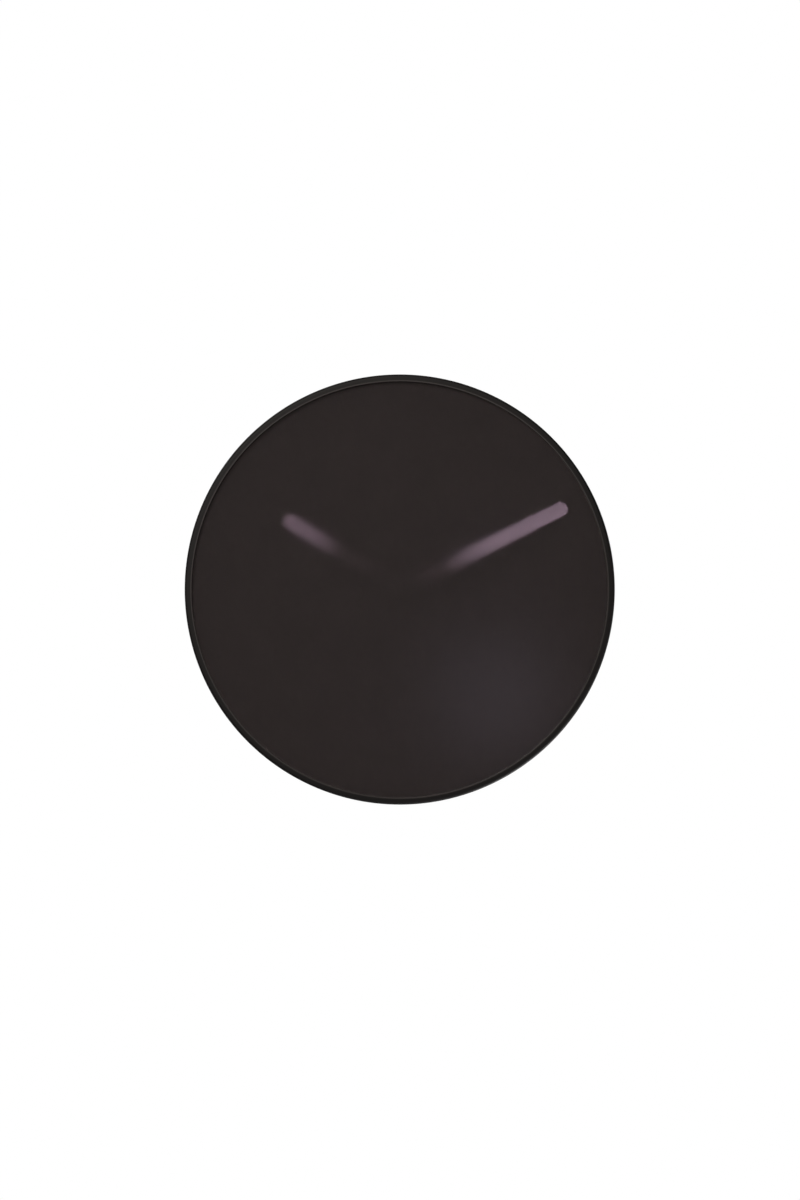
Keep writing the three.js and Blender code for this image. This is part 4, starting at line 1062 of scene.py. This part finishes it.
def nut_surface(segments=96):
    """A hex nut chamfered at 30 degrees on both faces: the chamfer's depth at an angle is the radius there, less
    the chamfer's own radius, times the tangent of 30 degrees."""
    back, front = depths("hex_nut")
    sixth = FULL_TURN / 6
    angle = np.arange(segments) * FULL_TURN / segments
    hexagon = NUT_APOTHEM / np.cos((angle + sixth / 2) % sixth - sixth / 2)
    crown = NUT_CROWN * NUT_APOTHEM
    fall = (hexagon - crown) * math.tan(NUT_CHAMFER)
    bore = BUSHING_RADIUS + TIGHT_GAP
    mouth = bore + NUT_COUNTERSINK
    radius = grid(bore, mouth, crown, hexagon, hexagon, crown, mouth, bore)
    sink = NUT_COUNTERSINK
    along = grid(back + sink, back, back, back + fall, front - fall, front, front, front - sink)
    return around(radius, along)


add_piece("bushing_threaded", blackened_brass, "threaded_bushing", closed_mesh(bushing_surface()))
add_piece("nut_chamfered", blackened_brass, "hex_nut", closed_mesh(nut_surface()))

# %% Washer, collets and cap
HUB_EDGE = 0.12
CAP_SOCKET = 1.1
CAP_ROUND = 0.9

washer_bore = BUSHING_RADIUS + LOOSE_GAP
hub_bores = {"brass_washer": washer_bore, "hour_hand_collet": HOUR_HOLE, "minute_hand_collet": MINUTE_HOLE}
for node, bore in hub_bores.items():
    add_ring(node + "_turned", blackened_brass, node, bore, HUB_EDGE)

cap_back, cap_front = depths("minute_hand_cap")
cap_radius = radius_of("minute_hand_cap")
cap_corners = [
    (0, cap_back + CAP_SOCKET),
    (MINUTE_HOLE, cap_back + CAP_SOCKET),
    (MINUTE_HOLE, cap_back, FINE_EDGE),
    (cap_radius, cap_back, CUT_EDGE),
    (cap_radius, cap_front, CAP_ROUND),
    (0, cap_front),
]
add_turned("cap_domed", blackened_brass, "minute_hand_cap", cap_corners)

# %% [markdown]
# ## Plastics
# The movement's housing is black ABS from a spark-eroded mould, which prints a fine leathery grain, drawn at
# 0.5 mm. Gears and bridge are natural acetal: milky, waxy and slightly see-through, which subsurface scattering
# gives.

# %% Plastic materials
ABS_BLACK = srgb("#1c1d1f")
ABS_GREY = srgb("#26272a")
ACETAL = srgb("#e4e1d8")
SPARK_GRAIN = 0.5
MOULD_FLOW = 20
WAX_HAZE = 4
WAX_DEPTH = 0.8

abs_plastic, tree, shader, place = new_material("spark_textured_abs", ABS_BLACK, 0.6)
grain = add_node(tree, "TexVoronoi", "Distance", sized(place, SPARK_GRAIN))
flow = add_node(tree, "TexNoise", "Fac", sized(place, MOULD_FLOW, Detail=2.0))
hang(shader, tint=(flow, ABS_BLACK, ABS_GREY), sheen=(flow, 0.5, 0.66), relief=(grain, 0.03, 0.6))

acetal, tree, shader, place = new_material("natural_acetal", ACETAL, 0.4)
haze = add_node(tree, "TexNoise", "Fac", sized(place, WAX_HAZE, Detail=2.0))
fill(shader, {"Subsurface Weight": 0.25, "Subsurface Scale": WAX_DEPTH * MM})
hang(shader, sheen=(haze, 0.34, 0.5))

# %% [markdown]
# ## Setting knob
# The knob that sets the time is moulded with ten shallow flutes, and its rear face is hollowed a little, as such
# knobs are.

# %% Knob
KNOB_FLUTES = 10
KNOB_FLUTE_DEPTH = 0.5
KNOB_BORE = 1.1
KNOB_HUB = 2.2
KNOB_WALL = 1.2
KNOB_HOLLOW = 0.5
KNOB_EDGE = 0.3


def knob_surface(segments=160):
    """At an angle a the rim's radius is the knob's less half of the flute's depth times 1 - cos 10 a. The profile
    runs from the bore over the hub, the hollow and the rim to the front."""
    back, front = depths("setting_knob")
    angle = np.arange(segments) * FULL_TURN / segments
    rim = radius_of("setting_knob") - KNOB_FLUTE_DEPTH * (1 - np.cos(KNOB_FLUTES * angle)) / 2
    wall, floor = rim - KNOB_WALL, back + KNOB_HOLLOW
    radius = grid(
        KNOB_BORE, KNOB_HUB, KNOB_HUB + KNOB_EDGE, wall - KNOB_EDGE, wall,
        rim - KNOB_EDGE, rim, rim, rim - KNOB_EDGE, KNOB_BORE,
    )
    along = grid(back, back, floor, floor, back, back, back + KNOB_EDGE, front - KNOB_EDGE, front, front)
    return around(radius, along, start=foot_of("setting_knob"))


add_piece("knob_fluted", acetal, "setting_knob", closed_mesh(knob_surface()))

# %% [markdown]
# ## Bare and plated metals of the movement
# The contacts are nickel-plated spring strip and the coil's core and stator are silicon steel. Both are rolled, so
# their fine lines all run one way, as in the zinc-plated sheet. The rotor's magnet is sintered from powder, and
# shows its grains.

# %% Rolled and sintered metals
NICKEL = srgb("#cdc8bf")
SILICON_STEEL = srgb("#90959a")
MAGNET_GREY = srgb("#55555a")
MAGNET_GRAIN = 0.4
STRIP_STRETCH = (0.06, 1.0, 1.0)


def rolled_metal(name, color, roughness, spacing):
    """Metal strip with rolling lines a given number of mm apart, in its roughness and in its relief."""
    material, tree, shader, place = new_material(name, color, roughness, 1.0)
    squeezed = add_node(tree, "Mapping", "Vector", {"Vector": place, "Scale": STRIP_STRETCH})
    lines = add_node(tree, "TexNoise", "Fac", sized(squeezed, spacing, Detail=3.0))
    hang(shader, sheen=(lines, 0.7 * roughness, 1.3 * roughness), relief=(lines, 0.01, 0.4))
    return material


nickel = rolled_metal("nickel_plated_strip", NICKEL, 0.28, spacing=0.4)
silicon_steel = rolled_metal("rolled_silicon_steel", SILICON_STEEL, 0.42, spacing=0.5)

magnet, tree, shader, place = new_material("sintered_magnet", MAGNET_GREY, 0.5, 1.0)
grains = add_node(tree, "TexVoronoi", "Distance", sized(place, MAGNET_GRAIN))
hang(shader, sheen=(grains, 0.4, 0.6), relief=(grains, 0.02, 0.5))

# %% [markdown]
# ## Battery
# The cell is a steel can in a shrink sleeve that curls over both ends. It is turned about its own axis, and the
# faces inside the curled edges take the can's nickel instead of the sleeve. The sleeve is plain, with a copper
# band at the positive end so that the way round is clear, and a film's soft ripple.

# %% Sleeve
SLEEVE_GREY = srgb("#4a4e53")
SLEEVE_COPPER = srgb("#a8714a")
SLEEVE_RIPPLE = 5
COPPER_BAND = 14
NUB_LENGTH = 1.0

battery_left, battery_right = across("battery")
band_start = (battery_right - NUB_LENGTH - COPPER_BAND) * MM

sleeve, tree, shader, place = new_material("printed_shrink_sleeve", SLEEVE_GREY, 0.35, 0.5)
along = add_node(tree, "SeparateXYZ", "X", {"Vector": place})
banded = add_node(tree, "Math", "Value", {0: along, 1: band_start}, operation="GREATER_THAN")
ripple = add_node(tree, "TexNoise", "Fac", sized(place, SLEEVE_RIPPLE, Detail=2.0))
hang(shader, tint=(banded, SLEEVE_GREY, SLEEVE_COPPER), sheen=(ripple, 0.28, 0.42), relief=(ripple, 0.05, 0.4))

# %% Battery
SLEEVE_CURL = 5.6
SLEEVE_STEP = 0.3
SLEEVE_SHEET = 0.2
SLEEVE_ROUND = 0.7
NUB_RADIUS = 2.75
NUB_ROUND = 0.4

battery_length = battery_right - battery_left
battery_depths = depths("battery")
battery_start = (battery_left, sum(battery_depths) / 2, axis_of("battery")[1])


def battery_surface():
    """The cell turned about its axis from the negative end to the nub, with the sleeve's two curled edges."""
    radius = (battery_depths[1] - battery_depths[0]) / 2
    shoulder = battery_length - NUB_LENGTH
    profile = rounded([
        (0, SLEEVE_SHEET),
        (SLEEVE_CURL - SLEEVE_STEP, SLEEVE_SHEET),
        (SLEEVE_CURL, 0),
        (radius, 0, SLEEVE_ROUND),
        (radius, shoulder, SLEEVE_ROUND),
        (SLEEVE_CURL, shoulder),
        (SLEEVE_CURL - SLEEVE_STEP, shoulder - SLEEVE_SHEET),
        (NUB_RADIUS, shoulder - SLEEVE_SHEET),
        (NUB_RADIUS, battery_length, NUB_ROUND),
        (0, battery_length),
    ])
    return lathe(profile, start=battery_start, axis=(1, 0, 0), closed=False)


battery = add_piece("battery_cell", sleeve, "battery", closed_mesh(battery_surface()))
from_axis = face_rows(battery, "center")[:, 1:] / MM - (-battery_start[1], battery_start[2])
second_finish(battery, nickel, np.hypot(*from_axis.T) < SLEEVE_CURL - SLEEVE_STEP)

# %% [markdown]
# ## Circuit board, chip and coil
# The board's green solder mask lies over copper tracks, which show as paler stripes. The chip is black moulding
# resin, slightly gritty. The coil is wound with enamelled wire, far too thin to draw, so its turns are drawn every
# 0.3 mm as bands across the coil.

# %% Electrical materials
MASK_GREEN = srgb("#1d4a33")
MASK_OVER_TRACK = srgb("#3a7350")
RESIN_BLACK = srgb("#151517")
COPPER_ENAMEL = srgb("#b8683a")
TRACK_SPACING = 1.4
RESIN_GRIT = 0.3
WIRE_SPACING = 0.3

green_board, tree, shader, place = new_material("green_solder_mask", MASK_GREEN, 0.35)
rows = sized(place, BANDS * TRACK_SPACING, Distortion=1.5)
waves = add_node(tree, "TexWave", "Fac", {**rows, "Detail Scale": 0.3}, bands_direction="Z")
tracks = add_node(tree, "MapRange", "Result", {"Value": waves, "From Min": 0.6, "From Max": 0.7})
hang(shader, tint=(tracks, MASK_GREEN, MASK_OVER_TRACK), relief=(tracks, 0.04, 1.0))

resin, tree, shader, place = new_material("moulding_resin", RESIN_BLACK, 0.6)
grit = add_node(tree, "TexNoise", "Fac", sized(place, RESIN_GRIT, Detail=2.0))
hang(shader, sheen=(grit, 0.5, 0.72), relief=(grit, 0.02, 0.5))

copper_wire, tree, shader, place = new_material("enamelled_copper_wire", COPPER_ENAMEL, 0.3, 1.0)
turns = sized(place, BANDS * WIRE_SPACING, Distortion=0.4)
wires = add_node(tree, "TexWave", "Fac", turns, bands_direction="Z", wave_profile="SIN")
fill(shader, {"Coat Weight": 0.4})
hang(shader, sheen=(wires, 0.42, 0.28), relief=(wires, 0.1, 0.8))

# %% [markdown]
# ## The movement's mouldings and stampings
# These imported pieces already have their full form, so each is copied, its triangles are joined into flat faces,
# and a Bevel modifier rounds the edges by the little that its process leaves: a moulding's radius or a stamping's
# burr. The wheels get the smallest edge, because their teeth are small.

# %% Refined copies
COPY_MERGE = 0.002
FLAT_ANGLE = math.radians(1)
REFINED = {
    "movement_housing": (abs_plastic, 0.3),
    "movement_cover": (abs_plastic, 0.2),
    "train_bridge": (acetal, 0.12),
    "positive_contact": (nickel, 0.1),
    "negative_contact": (nickel, 0.08),
    "circuit_board": (green_board, 0.08),
    "driver_chip": (resin, 0.1),
    "quartz_crystal": (nickel, 0.2),
    "coil_core": (silicon_steel, 0.08),
    "coil_bobbin": (acetal, 0.08),
    "coil_winding": (copper_wire, 0.4),
    "stator": (silicon_steel, 0.1),
    "rotor": (acetal, 0.03),
    "rotor_magnet": (magnet, 0.15),
    "fifth_wheel": (acetal, 0.03),
    "seconds_wheel": (acetal, 0.03),
    "third_wheel": (acetal, 0.03),
    "centre_wheel": (bare_brass, 0.03),
    "minute_shaft": (bare_brass, 0.05),
    "motion_wheel": (acetal, 0.05),
    "hour_wheel": (acetal, 0.05),
    "setting_shaft": (acetal, 0.05),
}

for node, (material, edge) in REFINED.items():
    copy = cleaned(frame["nodes"][node].data.copy(), COPY_MERGE, FLAT_ANGLE)
    add_piece(node + "_refined", material, node, copy, edge)

# %% [markdown]
# ## Studio
# The clock floats in front of plain white. The camera sees the world as pure white, while the clock itself is lit
# by a much dimmer world, so its edges stay dark. A key lamp in front of the clock, up and to the left, lights the
# hands through the lens. A weak violet lamp, close to the camera's line of sight, shows as a faint round patch on
# the satin lens. A low lamp at the right, just behind the face, draws a bright hairline on the edge that looks its
# way. Two large lamps behind the clock light its back.

# %% World and lamps
WORLD_GLOW = 0.03
KEY_WARM = (1.0, 0.93, 0.86)
PATCH_VIOLET = (0.88, 0.77, 1.0)
clock_middle = Vector((CLOCK_AXIS[0], -CLOCK_DEPTH, CLOCK_AXIS[1])) * MM

world = bpy.data.worlds.new("white_studio")
world.use_nodes = True
bpy.context.scene.world = world
sky = world.node_tree
seen = add_node(sky, "LightPath", "Is Camera Ray", {})
glow = add_node(sky, "MapRange", "Result", {"Value": seen, "To Min": WORLD_GLOW, "To Max": 1.0})
fill(sky.nodes["Background"], {"Color": (1, 1, 1, 1), "Strength": glow})


def add_lamp(name, offset, size, watts, color=(1, 1, 1)):
    """A square soft lamp at an offset in metres from the middle of the clock's face, turned towards it."""
    light = bpy.data.lights.new(name, "AREA")
    light.size, light.energy, light.color = size, watts, color
    holder = bpy.data.objects.new(name, light)
    holder.location = clock_middle + Vector(offset)
    holder.rotation_euler = (-Vector(offset)).to_track_quat("-Z", "Y").to_euler()
    holder.visible_camera = False
    bpy.context.scene.collection.objects.link(holder)
    print(name, "at", [round(value, 2) for value in holder.location], watts, "W")


add_lamp("key_lamp", (-0.64, -1.8, 0.92), size=0.25, watts=9, color=KEY_WARM)
add_lamp("patch_lamp", (0.16, -3.2, -0.165), size=0.17, watts=0.052, color=PATCH_VIOLET)
add_lamp("edge_lamp", (0.6, 0.08, -0.85), size=0.15, watts=4)
add_lamp("back_lamp_left", (-0.8, 2.1, 0.5), size=1.2, watts=30)
add_lamp("back_lamp_right", (1.2, 1.7, 0.1), size=1.0, watts=14)

# %% [markdown]
# ## Floor
# The photograph shows no floor, so a pale painted one lies far below the clock, out of the picture. Other views
# see it. It gives the clock no light, and glows a little, because the dim world alone would leave it grey.

# %% Floor
FLOOR_HEIGHT = -1.2
FLOOR_RADIUS = 1.5
FLOOR_GLOW = 0.7
FLOOR_SCUFFS = 30

floor_paint, tree, shader, place = new_material("pale_painted_floor", srgb("#e9e8e6"), 0.8)
scuffs = add_node(tree, "TexNoise", "Fac", sized(place, FLOOR_SCUFFS))
fill(shader, {"Emission Color": (1, 1, 1, 1), "Emission Strength": FLOOR_GLOW})
hang(shader, sheen=(scuffs, 0.75, 0.85))

disc = lathe(
    [(0, 0), (FLOOR_RADIUS / MM, 0)], start=(0, 0, FLOOR_HEIGHT / MM), axis=(0, 0, 1), closed=False,
)
floor = bpy.data.objects.new("floor", closed_mesh(disc))
floor.data.materials.append(floor_paint)
floor.visible_diffuse = floor.visible_glossy = floor.visible_transmission = False
bpy.context.scene.collection.objects.link(floor)
bpy.context.scene.view_settings.view_transform = "Standard"
print(f"floor {-FLOOR_HEIGHT:.1f} m below the clock's hook")
